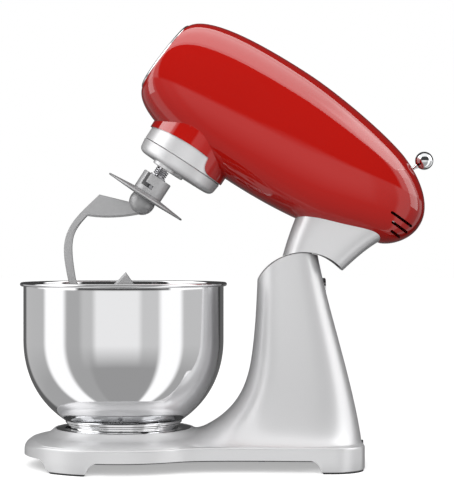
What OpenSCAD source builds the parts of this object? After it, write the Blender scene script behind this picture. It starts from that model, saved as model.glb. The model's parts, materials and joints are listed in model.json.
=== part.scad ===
// Tilt-head stand mixer with a planetary dough hook and a locking steel bowl.
// Millimetres, +Z up. Working coordinates have the bowl axis at X = 0, the column towards +X
// and the table at Z = 0. Head pieces are drawn with the head down, then tipped up at the hinge.

/* [Head and hinge] */
// Angle the head is raised by, in degrees
tilt = 33; // [25:1:36]
// Distance from the bowl axis to the hinge pin
hinge_x = 196.4; // [194:0.2:199]
// Height of the hinge pin
hinge_z = 176.1; // [174:0.2:178]
// Half the width of the head at its widest
head_half_w = 62; // [58:1:68]
// Wall of the painted head shell
shell_wall = 3; // [2.5:0.1:3.5]
// Height of each vent slot
vent_h = 3; // [2:0.1:3.4]
// Radius of the hinge pin
pin_r = 6; // [5:0.5:7]
// Thickness of each hinge arm
arm_t = 8; // [6:0.5:9]
// Radius of the arched column top
arch_r = 56.3; // [55:0.1:58]
// Gap between the arched top and the neck above it
arch_gap = 1; // [0.6:0.1:1.6]

/* [Planetary drive] */
// Tooth size of the planetary gears
gear_m = 1.25; // [1.2:0.01:1.3]
// Teeth on the fixed ring gear
ring_teeth = 60; // [56:2:62]
// Teeth on the planet gear
planet_teeth = 16; // [14:2:18]
// Direction of the beater shaft from the bowl axis, in degrees
shaft_azimuth = 245.8; // [230:0.1:260]
// Radius of the beater shaft
shaft_r = 4.6; // [4:0.1:5]
// Radius of the silver collar
collar_r = 48; // [47:0.5:49]
// Running clearance of shafts in their bores
run_gap = 0.05; // [0.03:0.01:0.08]

/* [Dough hook] */
// Radius of the dough shield
shield_r = 46.7; // [42:0.5:48]
// Radius of the hook's hub
hub_r = 16.7; // [15:0.1:18]
// Angle the hook turns to lock on its pin
lock_angle = 35; // [25:1:40]

/* [Bowl] */
// Outer radius of the bowl wall
bowl_r = 109.7; // [106:0.1:111]
// Wall of the bowl
bowl_wall = 0.9; // [0.7:0.1:1.2]
// Height of the rim above the table
rim_z = 200.5; // [196:0.5:204]
// Radius of the rolled rim bead
bead_r = 2.2; // [1.8:0.1:2.6]

/* [Stand] */
// Radius of the round front of the base
base_r = 108.5; // [107:0.5:110]
// Distance from the bowl axis to the back of the base
base_back = 261; // [259:0.5:264]
// Half the width of the base at its waist
waist_half_w = 80; // [78:1:84]
// Half the width of the base at its back
back_half_w = 84; // [82:1:86]
// Height of the crease round the base
crease_z = 27.5; // [26:0.5:29]
// Height of the arches between the feet
foot_arch_z = 14; // [13:0.5:15]
// Casting wall
cast_wall = 4; // [3.5:0.5:4.5]
// Height of the bowl seat
seat_z = 41; // [40.5:0.5:42]
// Radius of the bowl seat ring
seat_r = 74; // [72:0.5:75]

/* [Hidden] */
$fn = 64;
eps = 0.01;

// The drawing is shifted so that the origin is under the middle of the overall box.
ball_r = 10;
ball_x = 222.8;
ball_z = 381.3;
raised_ball_x = hinge_x + (ball_x - hinge_x) * cos(tilt) + (ball_z - hinge_z) * sin(tilt);
rim_r = bowl_r + 3.7;
box_mid_x = (raised_ball_x + ball_r - rim_r) / 2;

// ---------------------------------------------------------------- curves and lofts

// Point at t on a cubic curve with four control points.
function bez(p, t) = let (u = 1 - t)
  u * u * u * p[0] + 3 * u * u * t * p[1] + 3 * u * t * t * p[2] + t * t * t * p[3];

// Points along a cubic curve, from step `first` to step n.
function curve(p, n, first = 0) = [for (i = [first:n]) bez(p, i / n)];

// Parameter where coordinate k of a rising or falling curve passes v.
function seek(p, k, v, lo = 0, hi = 1, n = 26) = let (m = (lo + hi) / 2)
  n == 0 ? m
  : (bez(p, m)[k] - v) * (p[3][k] - p[0][k]) > 0 ? seek(p, k, v, lo, m, n - 1)
  : seek(p, k, v, m, hi, n - 1);

// Value of the other coordinate where a chain of curves passes v in coordinate k.
function at(chain, k, v, i = 0) =
  i == len(chain) - 1 || (v - chain[i][3][k]) * (chain[i][3][k] - chain[i][0][k]) <= 0
  ? bez(chain[i], seek(chain[i], k, v))[1 - k]
  : at(chain, k, v, i + 1);

// Signed power, for the rounded-square outline |x|^p + |y|^p = 1.
function bend(v, p) = sign(v) * pow(abs(v), 2 / p);

// Ring of points in the plane through a and b (both [x, z]) and the Y axis.
function ring(a, b, half_w, p, n) = [for (i = [0:n - 1]) let (
    t = 360 * (i + 0.5) / n,
    m = (a + b) / 2 + (b - a) / 2 * bend(sin(t), p))
  [m[0], half_w * bend(cos(t), p), m[1]]];

// Closed solid through rings with the same count of points. Seen along the way from the first
// ring to the last, the points of a ring run clockwise.
module loft(rings) {
  n = len(rings[0]);
  last = (len(rings) - 1) * n;
  sides = [for (j = [0:len(rings) - 2], i = [0:n - 1]) let (
      a = j * n + i, b = j * n + (i + 1) % n) each [[a, b + n, b], [a, a + n, b + n]]];
  polyhedron([for (r = rings) each r],
    concat([[for (i = [0:n - 1]) i]], sides, [[for (i = [n - 1:-1:0]) last + i]]));
}

module raised() {
  translate([hinge_x, 0, hinge_z]) rotate([0, tilt, 0]) translate([-hinge_x, 0, -hinge_z])
    children();
}

module at_hinge() {
  translate([hinge_x, 0, hinge_z]) rotate([90, 0, 0]) children();
}

function from_hinge(r, a) = [hinge_x + r * cos(a), hinge_z + r * sin(a)];

// ---------------------------------------------------------------- stand

// Plan outline of the base, `inset` mm inside its outer edge.
blend_a = 58;
function half_outline(inset) = let (
    r = base_r - inset, w = waist_half_w - inset, b = back_half_w - inset,
    x = base_back - inset, c = max(36 - inset, 8))
  concat(
    [for (i = [0:20]) let (a = 180 - (180 - blend_a) * i / 20) [r * cos(a), r * sin(a)]],
    curve([[r * cos(blend_a), r * sin(blend_a)],
      [r * cos(blend_a) + 19 * sin(blend_a), r * sin(blend_a) - 19 * cos(blend_a)],
      [92, w], [130, w]], 6, 1),
    curve([[130, w], [165, w], [195, b], [x - c, b]], 6, 1),
    curve([[x - c, b], [x - c * 0.45, b], [x, b - c * 0.45], [x, b - c]], 6, 1));
module outline(inset = 0) {
  half = half_outline(inset);
  polygon(concat(half, [for (i = [len(half) - 1:-1:1]) [half[i][0], -half[i][1]]]));
}

// Column edges as [x, z] curves and its half width as a [half width, z] curve.
column_top_z = 240;
column_front = [
  [[148, column_top_z], [147, 205], [146, 150], [139.4, 112]],
  [[139.4, 112], [133, 76], [116, 44], [50, crease_z]]];
column_back = [[[211, column_top_z], [222, 175], [250, 100], [base_back - 0.5, crease_z]]];
column_side = [[[36, column_top_z], [42, 130], [52, 45], [waist_half_w, crease_z]]];

module column(wall, z0, z1, rings, n) {
  loft([for (i = [0:rings]) let (z = z0 + (z1 - z0) * pow(i / rings, 1.6))
    ring_flat([at(column_front, 1, z) + wall, z], [at(column_back, 1, z) - wall, z],
      at(column_side, 1, z) - wall, 3, n)]);
}

dome_edge = concat(
  curve([[base_r - 0.8, crease_z], [base_r - 5, crease_z + 2.8], [base_r - 11, 32.2], [89, 33.6]], 5),
  curve([[89, 33.6], [84, 34.4], [79.5, 37.5], [seat_r + 2, seat_z]], 4, 1));
seat_t = 3;
tab_t = 1.8;
lug_gap = 0.3;
lug_t = 2.4;
foot_r = seat_r - 14.5;
lug_r = foot_r + 4;
lug_top = seat_z - tab_t - lug_gap;
well_z = lug_top - lug_t - lug_gap;

foot_bottom = 1.6;
front_foot_x = -37;
back_foot_x = 216.5;
front_foot_y = 80;
back_foot_y = 46;
foot_flank = 14.5;
// Arch between two feet, open below, with flanks that sweep out at the floor and in at the top.
module arch(x0, x1) {
  flank = curve([[0, 0], [0.39 * foot_flank, 0.09 * foot_arch_z],
    [0.25 * foot_flank, 0.86 * foot_arch_z], [foot_flank, foot_arch_z]], 8);
  polygon(concat([[x0, -1]], [for (p = flank) [x0 + p[0], p[1]]],
    [for (i = [len(flank) - 1:-1:0]) [x1 - flank[i][0], flank[i][1]]], [[x1, -1]]));
}
module arches() {
  translate([0, base_r + 5, 0]) rotate([90, 0, 0]) linear_extrude(2 * base_r + 10)
    arch(front_foot_x, back_foot_x);
  translate([-base_r - 5, 0, 0]) rotate([90, 0, 90]) linear_extrude(base_r + 65)
    arch(-front_foot_y, front_foot_y);
  translate([60, 0, 0]) rotate([90, 0, 90]) linear_extrude(base_back - 55)
    arch(-back_foot_y, back_foot_y);
}
// The front of the base is rounded off more than its sides: revolved cutter about a shifted centre.
nose_shift = 10;
module nose_rounding() {
  r = base_r + nose_shift;
  translate([nose_shift, 0, 0]) rotate_extrude($fn = 128) polygon([[r + 1, 18], [r - 0.2, 21.4],
    [r - 0.9, crease_z - 3.6], [r - 2, crease_z - 1.7], [r - 3.6, crease_z + 0.1],
    [r - 6, crease_z + 2], [r - 9, crease_z + 4], [r + 6, crease_z + 12], [r + 6, 18]]);
}

cavity_r = arch_r - 6;
cavity_half_w = 27;
cavity_x0 = 152.5;
cavity_x1 = 211;
arm_y = 18;
arm_gap = 0.8;
arm_a0 = 114;
arm_a1 = 136;
slot_slack = 5;
pin_near_y = -33;
pin_far_y = 35;

button_z = 196;
button_r = 9;
button_travel = 4;

cord_z = 21;
cord_r = 3.6;
gland_r = 5;

seat_screw_r = seat_r - 5;
screw_spots = [[-60, 55], [40, 66], [150, 60], [232, 60]];
seat_screw_a = [30, 150, 270];

module column_cavity() {
  intersection() {
    at_hinge() translate([0, 0, -cavity_half_w]) cylinder(r = cavity_r, h = 2 * cavity_half_w);
    translate([cavity_x0, -cavity_half_w, 140])
      cube([cavity_x1 - cavity_x0, 2 * cavity_half_w, 100]);
  }
  translate([cavity_x0, -cavity_half_w, 128]) cube([58, 2 * cavity_half_w, 36]);
}
module arm_slots() {
  for (s = [-1, 1]) translate([hinge_x, s * (arm_y + arm_t / 2), hinge_z]) rotate([90, 0, 0])
    rotate([0, 0, arm_a0 - tilt - slot_slack])
      rotate_extrude(angle = arm_a1 - arm_a0 + tilt + 2 * slot_slack)
      translate([cavity_r - 3, -arm_t / 2 - arm_gap]) square([12, arm_t + 2 * arm_gap]);
}

module stand_casting() {
  color([0.78, 0.78, 0.79]) difference() {
    union() {
      translate([0, 0, foot_bottom]) linear_extrude(crease_z - foot_bottom) outline();
      rotate_extrude($fn = 96)
        polygon(concat([[0, crease_z - 1], [base_r - 0.8, crease_z - 1]], dome_edge, [[0, seat_z]]));
      column(0, crease_z - 0.5, column_top_z, 17, 40);
    }
    // arched top
    difference() {
      translate([130, -60, 190]) cube([100, 120, 70]);
      at_hinge() translate([0, 0, -70]) cylinder(r = arch_r, h = 140, $fn = 128);
    }
    arches();
    nose_rounding();
    // hollow underside: opening, ledge for the cover, and the space above it
    translate([0, 0, -1]) linear_extrude(foot_arch_z + 1 + eps) outline(8);
    translate([0, 0, foot_arch_z]) linear_extrude(3) outline(16);
    translate([0, 0, foot_arch_z + 3 - eps]) linear_extrude(crease_z - cast_wall - foot_arch_z - 3)
      outline(cast_wall);
    translate([0, 0, 20]) cylinder(r = seat_r - 8, h = well_z - cast_wall - 20);
    column(cast_wall + 1, crease_z - 8, 150, 6, 24);
    column_cavity();
    arm_slots();
    // hinge bore, closed on the near side
    translate([hinge_x, pin_near_y, hinge_z]) rotate([-90, 0, 0]) cylinder(r = pin_r, h = 80);
    // bowl seat recess and bayonet well
    translate([0, 0, seat_z - seat_t]) cylinder(r = seat_r, h = 10, $fn = 128);
    translate([0, 0, well_z]) cylinder(r = lug_r + 1, h = 10);
    for (a = seat_screw_a) rotate(a) translate([seat_screw_r, 0, 30])
      cylinder(r = 1.6, h = 10, $fn = 24);
    // release button and cord inlet
    translate([cavity_x1 - 6, 0, button_z]) rotate([0, 90, 0])
      cylinder(r = button_r + run_gap, h = 30);
    translate([base_back - 14, 0, cord_z]) rotate([0, 90, 0]) cylinder(r = gland_r, h = 20);
  }
}

cover_t = 2;
module base_cover() {
  color([0.2, 0.2, 0.21]) difference() {
    translate([0, 0, foot_arch_z - cover_t]) linear_extrude(cover_t) outline(8.6);
    for (p = screw_spots, s = [-1, 1]) translate([p[0], s * p[1], 0])
      cylinder(r = 2.2, h = 30, $fn = 24);
  }
}
module base_cover_screws() {
  color([0.6, 0.6, 0.62]) for (p = screw_spots, s = [-1, 1]) translate([p[0], s * p[1], 0]) {
    translate([0, 0, foot_arch_z - cover_t - 1.6]) cylinder(r = 3.8, h = 1.6, $fn = 24);
    translate([0, 0, foot_arch_z - cover_t - eps]) cylinder(r = 2.2, h = cover_t + eps, $fn = 24);
  }
}
module rubber_feet() {
  color([0.12, 0.12, 0.12]) difference() {
    linear_extrude(foot_bottom) outline(1.2);
    translate([0, 0, -1]) linear_extrude(foot_bottom + 2) outline(7);
    translate([0, 0, -0.5]) arches();
  }
}
module cord_gland() {
  color([0.1, 0.1, 0.1]) translate([base_back - 8, 0, cord_z]) rotate([0, 90, 0]) difference() {
    union() {
      cylinder(r = gland_r, h = 8);
      translate([0, 0, 8]) cylinder(r = gland_r + 1.2, h = 2);
    }
    translate([0, 0, -1]) cylinder(r = cord_r, h = 14);
  }
}

// Chrome ring with three notches that let the foot's lugs drop through.
notch_a = 50;
bowl_lock = 25;
module bowl_seat() {
  color([0.86, 0.87, 0.88]) difference() {
    translate([0, 0, seat_z - seat_t]) cylinder(r = seat_r - 0.05, h = seat_t, $fn = 128);
    translate([0, 0, seat_z - seat_t - 1]) cylinder(r = foot_r + 0.5, h = 10, $fn = 128);
    // underside relief for the lugs, and the notches above it
    translate([0, 0, seat_z - seat_t - 1]) cylinder(r = lug_r + 1, h = seat_t - tab_t + 1, $fn = 128);
    for (a = [0, 120, 240]) rotate(a + notch_a) rotate_extrude(angle = 24)
      translate([foot_r - 2, 30]) square([lug_r - foot_r + 2.6, 20]);
    for (a = seat_screw_a) rotate(a) translate([seat_screw_r, 0, 30]) cylinder(r = 1.65, h = 20, $fn = 24);
    for (a = seat_screw_a) rotate(a) translate([seat_screw_r, 0, seat_z - 1]) cylinder(r = 3, h = 2, $fn = 24);
  }
}
module bowl_seat_screws() {
  color([0.6, 0.6, 0.62]) for (a = seat_screw_a) rotate(a) translate([seat_screw_r, 0, 0]) {
    translate([0, 0, 31]) cylinder(r = 1.6, h = seat_z - 32, $fn = 24);
    translate([0, 0, seat_z - 1]) cylinder(r = 2.9, h = 1, $fn = 24);
  }
}

module hinge_pin() {
  color([0.62, 0.63, 0.65]) translate([hinge_x, pin_near_y, hinge_z]) rotate([-90, 0, 0])
    cylinder(r = pin_r, h = pin_far_y - pin_near_y);
}
module hinge_plug() {
  color([0.7, 0.7, 0.71]) translate([hinge_x, pin_far_y, hinge_z]) rotate([-90, 0, 0])
    cylinder(r = pin_r, h = 3);
}

module release_button() {
  color([0.75, 0.75, 0.76]) translate([cavity_x1 - 3, 0, button_z]) rotate([0, 90, 0]) {
    cylinder(r = button_r, h = 14);
    cylinder(r = button_r + 2, h = 2.8);
  }
}
// Steel bracket that backs the button's spring, on two posts from the rear wall.
bracket_x = 197;
module button_bracket() {
  color([0.6, 0.6, 0.62]) {
    translate([bracket_x, -16, button_z - 9]) cube([2, 32, 18]);
    for (s = [-1, 1]) translate([bracket_x + 2 - eps, s * 14 - 1.5, button_z - 7])
      cube([cavity_x1 - bracket_x - 2 + eps, 3, 14]);
  }
}

// ---------------------------------------------------------------- head

head_x0 = -77.1;
head_x1 = 256.8;
plate_lean = 4.6;
plate_half_h = 42.4;
plate_half_w = 46;
plate_z = 322;

head_top = [
  [[head_x0, 364], [-68, 382], [-16, 391.4], [64, 391.3]],
  [[64, 391.3], [105, 391.2], [170, 382.5], [200, 372.9]],
  [[200, 372.9], [222, 365.5], [256, 347], [257, 318.5]]];
head_bottom = [
  [[head_x0, 280], [-74, 262], [-40, 248], [24, 246]],
  [[24, 246], [66, 244.6], [110, 246], [150, 253]],
  [[150, 253], [180, 260], [205, 271], [232, 279]],
  [[232, 279], [244, 284.5], [257, 300], [257, 317.5]]];
head_side = [
  [[head_x0, plate_half_w], [-62, head_half_w - 7], [-10, head_half_w], [90, head_half_w]],
  [[90, head_half_w], [180, head_half_w], [256.5, head_half_w - 4], [257, 1]]];

// Section of the head at station x: near the nose the section plane leans like the front plate.
function head_ring(x, wall, n) = let (
    lean = tan(plate_lean) * plate_half_h * max(0, 1 - (x - head_x0) / 60),
    b = at(head_bottom, 0, x) + wall, t = at(head_top, 0, x) - wall)
  ring([x - lean, b], [x + lean, t], at(head_side, 0, x) - wall, 2.5, n);
module head_body(wall, stations, n, nose = 0, tail = 0) {
  x0 = head_x0 + nose;
  x1 = head_x1 - tail;
  loft([for (i = [0:stations])
    head_ring((x0 + x1) / 2 - (x1 - x0) / 2 * cos(180 * i / stations), wall, n)]);
}

// Moves to the middle of the front plate, +Z out of the nose and +X up.
module at_nose() {
  translate([head_x0, 0, plate_z]) rotate([0, plate_lean - 90, 0]) children();
}

vents = [[311, 219.4, 248.7], [302.8, 226, 248.5], [294.5, 230.6, 244.7]];
lever_foot = [217, 366.5];
lever_dir = [ball_x, ball_z] - lever_foot;
lever_a = atan2(lever_dir[0], lever_dir[1]);
lever_depth = 34;
lever_r = 1.7;
lever_sweep = 22;
// Moves to the lever's pivot, +Z along the lever and +X along its pivot towards the tail.
module at_lever() {
  translate([lever_foot[0], 0, lever_foot[1]]) rotate([0, lever_a, 0])
    translate([0, 0, -lever_depth]) children();
}
lobe_half_a = 53;
// The dish turns below the collar; the drive's heights are taken from its edge.
dish_top = 235.3;
dish_floor = dish_top - 14.8;
boss_low = dish_floor - 3.5;
boss_r = 13.6;
hub_top = boss_low - 11;
skirt_r = collar_r + 2;
skirt_gap = 0.3;
skirt_z = dish_top + 13.7;
case_r = collar_r - 2.6;

module head_housing() {
  color([0.75, 0.1, 0.08]) difference() {
    union() {
      head_body(0, 30, 44);
      translate([0, 0, skirt_z]) cylinder(r = skirt_r, h = 16);
      rotate(-lobe_half_a) rotate_extrude(angle = 2 * lobe_half_a)
        translate([collar_r + skirt_gap, 237]) square([skirt_r - collar_r - skirt_gap, skirt_z - 236]);
    }
    head_body(shell_wall, 22, 32, -2, shell_wall);
    cylinder(r = case_r, h = 300);
    cylinder(r = collar_r + skirt_gap, h = skirt_z);
    // tail plane of the rear cap
    translate([253.6, -50, 280]) cube([20, 100, 80]);
    for (v = vents, s = [-1, 1]) hull() for (x = [v[1] + vent_h / 2, v[2] - vent_h / 2])
      translate([x, s * 50, v[0]]) rotate([90, 0, 0]) cylinder(d = vent_h, h = 80, center = true, $fn = 16);
    // slot across the top for the speed lever
    hull() for (a = [-lever_sweep - 3, lever_sweep + 3]) at_lever() rotate([a, 0, 0])
      translate([0, 0, lever_depth / 2]) cylinder(r = lever_r + 0.8, h = 40, $fn = 16);
    // opening above the neck
    hull() for (x = [158, 196], y = [-20, 20])
      translate([x, y, 240]) cylinder(r = 10, h = 50, $fn = 24);
  }
}
module rear_cap() {
  color([0.75, 0.1, 0.08]) intersection() {
    head_body(0, 30, 44);
    translate([254, -50, 280]) cube([20, 100, 80]);
  }
}

plate_t = 2.4;
hub_hole_r = 27;
module nose_outline(grow, n) {
  polygon([for (i = [0:n - 1]) let (t = 360 * i / n)
    [(plate_half_h + grow) * bend(cos(t), 2.5), (plate_half_w + grow) * bend(sin(t), 2.5)]]);
}
module front_plate() {
  color([0.86, 0.87, 0.88]) at_nose() difference() {
    linear_extrude(plate_t) nose_outline(0.6, 64);
    translate([0, 0, -1]) cylinder(r = hub_hole_r, h = 5);
    translate([hub_hole_r - 4, -9, -1]) cube([9, 18, 5]);
  }
}

hub_bore_r = 9.75;
hub_depth = 30;
module hub_socket() {
  color([0.7, 0.7, 0.72]) at_nose() difference() {
    union() {
      translate([0, 0, -hub_depth - 6]) cylinder(r = 16, h = hub_depth + 6);
      translate([0, 0, -3]) cylinder(r = 32, h = 3);
    }
    translate([0, 0, -hub_depth]) cylinder(r = hub_bore_r, h = hub_depth + 1);
    translate([hub_hole_r - 1, -10, -5]) cube([12, 20, 10]);
  }
}
lid_axis = [hub_hole_r + 2, plate_t];
module hub_hinge_pin() {
  color([0.6, 0.6, 0.62]) at_nose() translate([lid_axis[0], -8.9, lid_axis[1]])
    rotate([-90, 0, 0]) cylinder(r = 1, h = 17.8, $fn = 24);
}
module hub_cover() {
  color([0.86, 0.87, 0.88]) at_nose() difference() {
    union() {
      translate([0, 0, 0.2]) cylinder(r = hub_hole_r - 0.4, h = plate_t);
      translate([hub_hole_r - 6, -6, plate_t - 1.6]) cube([lid_axis[0] - hub_hole_r + 6, 12, 3.2]);
      translate([lid_axis[0], -6, lid_axis[1]]) rotate([-90, 0, 0]) cylinder(r = 2, h = 12);
    }
    translate([lid_axis[0], -9, lid_axis[1]]) rotate([-90, 0, 0])
      cylinder(r = 1 + run_gap, h = 18, $fn = 24);
  }
}

// ---------------------------------------------------------------- neck and hinge bracket

neck_front = [[154, 196], [147.5, 212], [140, 240], [136.6, 262]];
neck_back = [[203, 205], [214.5, 222], [214, 258], [236, 292]];
module neck_body(wall, steps, n) {
  loft([for (i = [0:steps]) let (a = bez(neck_front, i / steps), b = bez(neck_back, i / steps),
      u = (b - a) / norm(b - a) * wall)
    ring_flat(a + u, b - u, 37.5 - wall + 1.5 * i / steps, 3.4, n)]);
}
// Ring in the plane of a and b with its first point towards b.
function ring_flat(a, b, half_w, p, n) = [for (i = [0:n - 1]) let (
    t = 360 * (i + 0.5) / n, m = (a + b) / 2 + (b - a) / 2 * bend(cos(t), p))
  [m[0], half_w * bend(sin(t), p), m[1]]];

module neck_casting() {
  color([0.8, 0.8, 0.81]) difference() {
    neck_body(0, 10, 40);
    neck_body(cast_wall, 8, 28);
    at_hinge() translate([0, 0, -60]) cylinder(r = arch_r + arch_gap, h = 120, $fn = 128);
    head_body(0, 30, 44);
  }
}

arm_eye_r = 13;
bush_r = 9;
bracket_z = 281;
module hinge_bracket() {
  color([0.55, 0.56, 0.58]) difference() {
    union() {
      translate([80, -30, bracket_z]) cube([116, 60, 5]);
      for (s = [-1, 1]) translate([0, s * (arm_y + arm_t / 2) + arm_t / 2, 0]) rotate([90, 0, 0])
        linear_extrude(arm_t) polygon([
          from_hinge(arm_eye_r, arm_a0 - 90), from_hinge(arch_r + 2, arm_a0),
          [hinge_x - 6, bracket_z + 1], [156, bracket_z + 1],
          from_hinge(arch_r + 2, arm_a1), from_hinge(arm_eye_r, arm_a1 + 80)]);
      for (s = [-1, 1]) translate([hinge_x, s * (arm_y + arm_t / 2), hinge_z]) rotate([90, 0, 0])
        cylinder(r = arm_eye_r, h = arm_t, center = true);
    }
    at_hinge() translate([0, 0, -60]) cylinder(r = bush_r, h = 120);
  }
}
module hinge_bushes() {
  color([0.72, 0.55, 0.3]) for (s = [-1, 1])
    translate([hinge_x, s * (arm_y + arm_t / 2), hinge_z]) rotate([90, 0, 0]) difference() {
      cylinder(r = bush_r, h = arm_t, center = true);
      cylinder(r = pin_r + run_gap, h = arm_t + 2, center = true);
    }
}

// ---------------------------------------------------------------- drive

offset_r = gear_m * (ring_teeth - planet_teeth) / 2;
motor_z = 322;
drive_r = 7;
gear_z0 = dish_top + 1.7;
gear_h = 9;
ring_gear_r = 42;

module at_shaft() {
  translate([offset_r * cos(shaft_azimuth), offset_r * sin(shaft_azimuth), 0]) children();
}

module gear_case() {
  color([0.6, 0.61, 0.63]) difference() {
    union() {
      translate([0, 0, skirt_z]) cylinder(r = case_r - 0.1, h = 14);
      translate([-34, -28, skirt_z + 12]) cube([110, 56, 80]);
      translate([0, 0, gear_z0 + 1]) cylinder(r = 13, h = 14);
      translate([74, -28, bracket_z + 5]) cube([12, 56, 12]);
    }
    translate([0, 0, 200]) cylinder(r = drive_r + run_gap, h = 70);
    translate([60, 0, motor_z]) rotate([0, 90, 0]) cylinder(r = 4 + run_gap, h = 40);
  }
}
module collar_ring() {
  color([0.82, 0.82, 0.83]) difference() {
    translate([0, 0, dish_top + 0.5]) cylinder(r = collar_r, h = skirt_z - dish_top - 0.5, $fn = 128);
    translate([0, 0, dish_top - 5]) cylinder(r = ring_gear_r, h = 30, $fn = 128);
  }
}

// Half the tooth angle of a gear of n teeth at radius r, in degrees.
pressure = 20;
function inv(a) = tan(a) * 180 / PI - a;
function half_tooth(n, r) = let (rp = gear_m * n / 2)
  90 / n + inv(pressure) - inv(acos(min(1, rp * cos(pressure) / r)));
// Outline of n involute teeth between two radii, each side thinned by `thin` mm.
function teeth(n, r0, r1, thin) = [for (k = [0:n - 1], s = [-1, 1], i = [0:4]) let (
    r = s < 0 ? r0 + (r1 - r0) * i / 4 : r1 - (r1 - r0) * i / 4,
    on_flank = max(r, gear_m * n / 2 * cos(pressure)),
    a = 360 * k / n + s * (half_tooth(n, on_flank) - thin / r * 180 / PI))
  [r * cos(a), r * sin(a)]];
tooth_gap = 0.14;

module ring_gear() {
  color([0.5, 0.5, 0.52]) rotate(shaft_azimuth) translate([0, 0, gear_z0 - 0.5]) difference() {
    cylinder(r = ring_gear_r, h = skirt_z - gear_z0 + 0.5, $fn = 128);
    translate([0, 0, -1]) linear_extrude(20)
      polygon(teeth(ring_teeth, gear_m * (ring_teeth / 2 - 0.8), gear_m * (ring_teeth / 2 + 1.15),
        -tooth_gap / 2));
  }
}
module planet_gear() {
  color([0.55, 0.5, 0.4]) at_shaft() rotate(shaft_azimuth) translate([0, 0, gear_z0])
    difference() {
      linear_extrude(gear_h)
        polygon(teeth(planet_teeth, gear_m * (planet_teeth / 2 - 1.15),
          gear_m * (planet_teeth / 2 + 0.85), tooth_gap / 2));
      translate([0, 0, -1]) cylinder(r = shaft_r, h = gear_h + 2);
    }
}

module planet_carrier() {
  color([0.8, 0.8, 0.81]) difference() {
    union() {
      rotate_extrude($fn = 128) polygon(concat(
        [[0, dish_floor], [38, dish_floor]],
        curve([[38, dish_floor], [44, dish_floor], [47, dish_floor + 2.5], [47.4, dish_floor + 7.5]], 5, 1),
        [[collar_r + 0.4, dish_top], [case_r, dish_top]],
        curve([[44.6, dish_floor + 7.5], [44.2, dish_floor + 4.9], [42, dish_floor + 3.1],
          [38, dish_floor + 3]], 4), [[0, dish_floor + 3]]));
      cylinder_at(0, 0, dish_floor + 1.5, drive_r + 5, 14);
      at_shaft() translate([0, 0, boss_low]) cylinder(r = boss_r, h = 19);
      hull() {
        at_shaft() translate([0, 0, boss_low + 0.4]) cylinder(r = boss_r - 0.6, h = 4, $fn = 32);
        translate([-5.5, -13, dish_floor - 2]) cylinder(r = 17, h = 3, $fn = 32);
      }
    }
    translate([0, 0, dish_floor + 2.1]) cylinder(r = drive_r, h = 30);
    at_shaft() translate([0, 0, boss_low - 10]) cylinder(r = shaft_r + 2, h = 60);
  }
}
module cylinder_at(x, y, z, r, h) {
  translate([x, y, z]) cylinder(r = r, h = h);
}
module drive_shaft() {
  color([0.6, 0.6, 0.62]) cylinder_at(0, 0, dish_floor + 2.1, drive_r, 46);
}
module shaft_bush() {
  color([0.72, 0.55, 0.3]) at_shaft() difference() {
    cylinder_at(0, 0, boss_low, shaft_r + 2, 19);
    cylinder_at(0, 0, boss_low - 7, shaft_r + run_gap, 40);
  }
}

hub_floor = hub_top - 20;
slot_z = hub_top - 13;
cross_pin_r = 2;
slot_half = cross_pin_r + 0.2;
leg_half = cross_pin_r + 0.15;
module beater_shaft() {
  color([0.62, 0.63, 0.65]) at_shaft() difference() {
    cylinder_at(0, 0, hub_floor + 0.5, shaft_r, gear_z0 + gear_h - hub_floor - 0.5);
    translate([0, 0, slot_z]) rotate([90, 0, 0])
      cylinder(r = cross_pin_r, h = 3 * shaft_r, center = true);
  }
}
module shaft_pin() {
  color([0.5, 0.5, 0.52]) at_shaft() translate([0, 0, slot_z]) rotate([90, 0, 0])
    cylinder(r = cross_pin_r, h = 2 * hub_r - 4, center = true);
}
// Coil of round wire between the carrier and the washer on the hook.
spring_r = shaft_r + 2.1;
wire_r = 0.9;
spring_turns = 3.5;
washer_t = 1.2;
spring_z0 = hub_top + washer_t + 0.1 + wire_r;
spring_z1 = boss_low - wire_r - 0.05;
module shaft_spring() {
  steps = 42;
  color([0.7, 0.7, 0.72]) at_shaft() loft([for (i = [0:steps]) let (
      a = 360 * spring_turns * i / steps, z = spring_z0 + (spring_z1 - spring_z0) * i / steps)
    [for (k = [0:5]) let (r = spring_r + wire_r * cos(60 * k))
      [r * cos(a), r * sin(a), z - wire_r * sin(60 * k)]]]);
}
module spring_washer() {
  color([0.7, 0.7, 0.72]) at_shaft() difference() {
    cylinder_at(0, 0, hub_top + 0.05, 9, washer_t);
    cylinder_at(0, 0, hub_top - 1, shaft_r + 0.05, washer_t + 3);
  }
}

stator_x0 = 92;
stator_x1 = 140;
rotor_r = 19;
module motor_stator() {
  color([0.45, 0.45, 0.47]) difference() {
    translate([stator_x0, 0, motor_z]) rotate([0, 90, 0])
      cylinder(r = 35.9, h = stator_x1 - stator_x0);
    translate([stator_x0 - 1, 0, motor_z]) rotate([0, 90, 0])
      cylinder(r = rotor_r + 0.6, h = stator_x1 - stator_x0 + 2);
    translate([stator_x0 - 1, -60, bracket_z - 10]) cube([60, 120, 15]);
  }
}
module motor_bracket() {
  color([0.55, 0.56, 0.58]) difference() {
    union() {
      translate([166, -24, bracket_z + 5]) cube([5, 48, motor_z - bracket_z + 8]);
      translate([163, 0, motor_z]) rotate([0, 90, 0]) cylinder(r = 11, h = 11);
    }
    translate([160, 0, motor_z]) rotate([0, 90, 0]) cylinder(r = 4 + run_gap, h = 30);
  }
}
module motor_shaft() {
  color([0.62, 0.63, 0.65]) translate([60.5, 0, motor_z]) rotate([0, 90, 0])
    cylinder(r = 4, h = 117);
}
module motor_rotor() {
  color([0.6, 0.4, 0.25]) translate([stator_x0 - 4, 0, motor_z]) rotate([0, 90, 0]) difference() {
    cylinder(r = rotor_r, h = stator_x1 - stator_x0 + 8);
    translate([0, 0, -1]) cylinder(r = 4, h = 80);
  }
}
fan_blades = 9;
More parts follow.
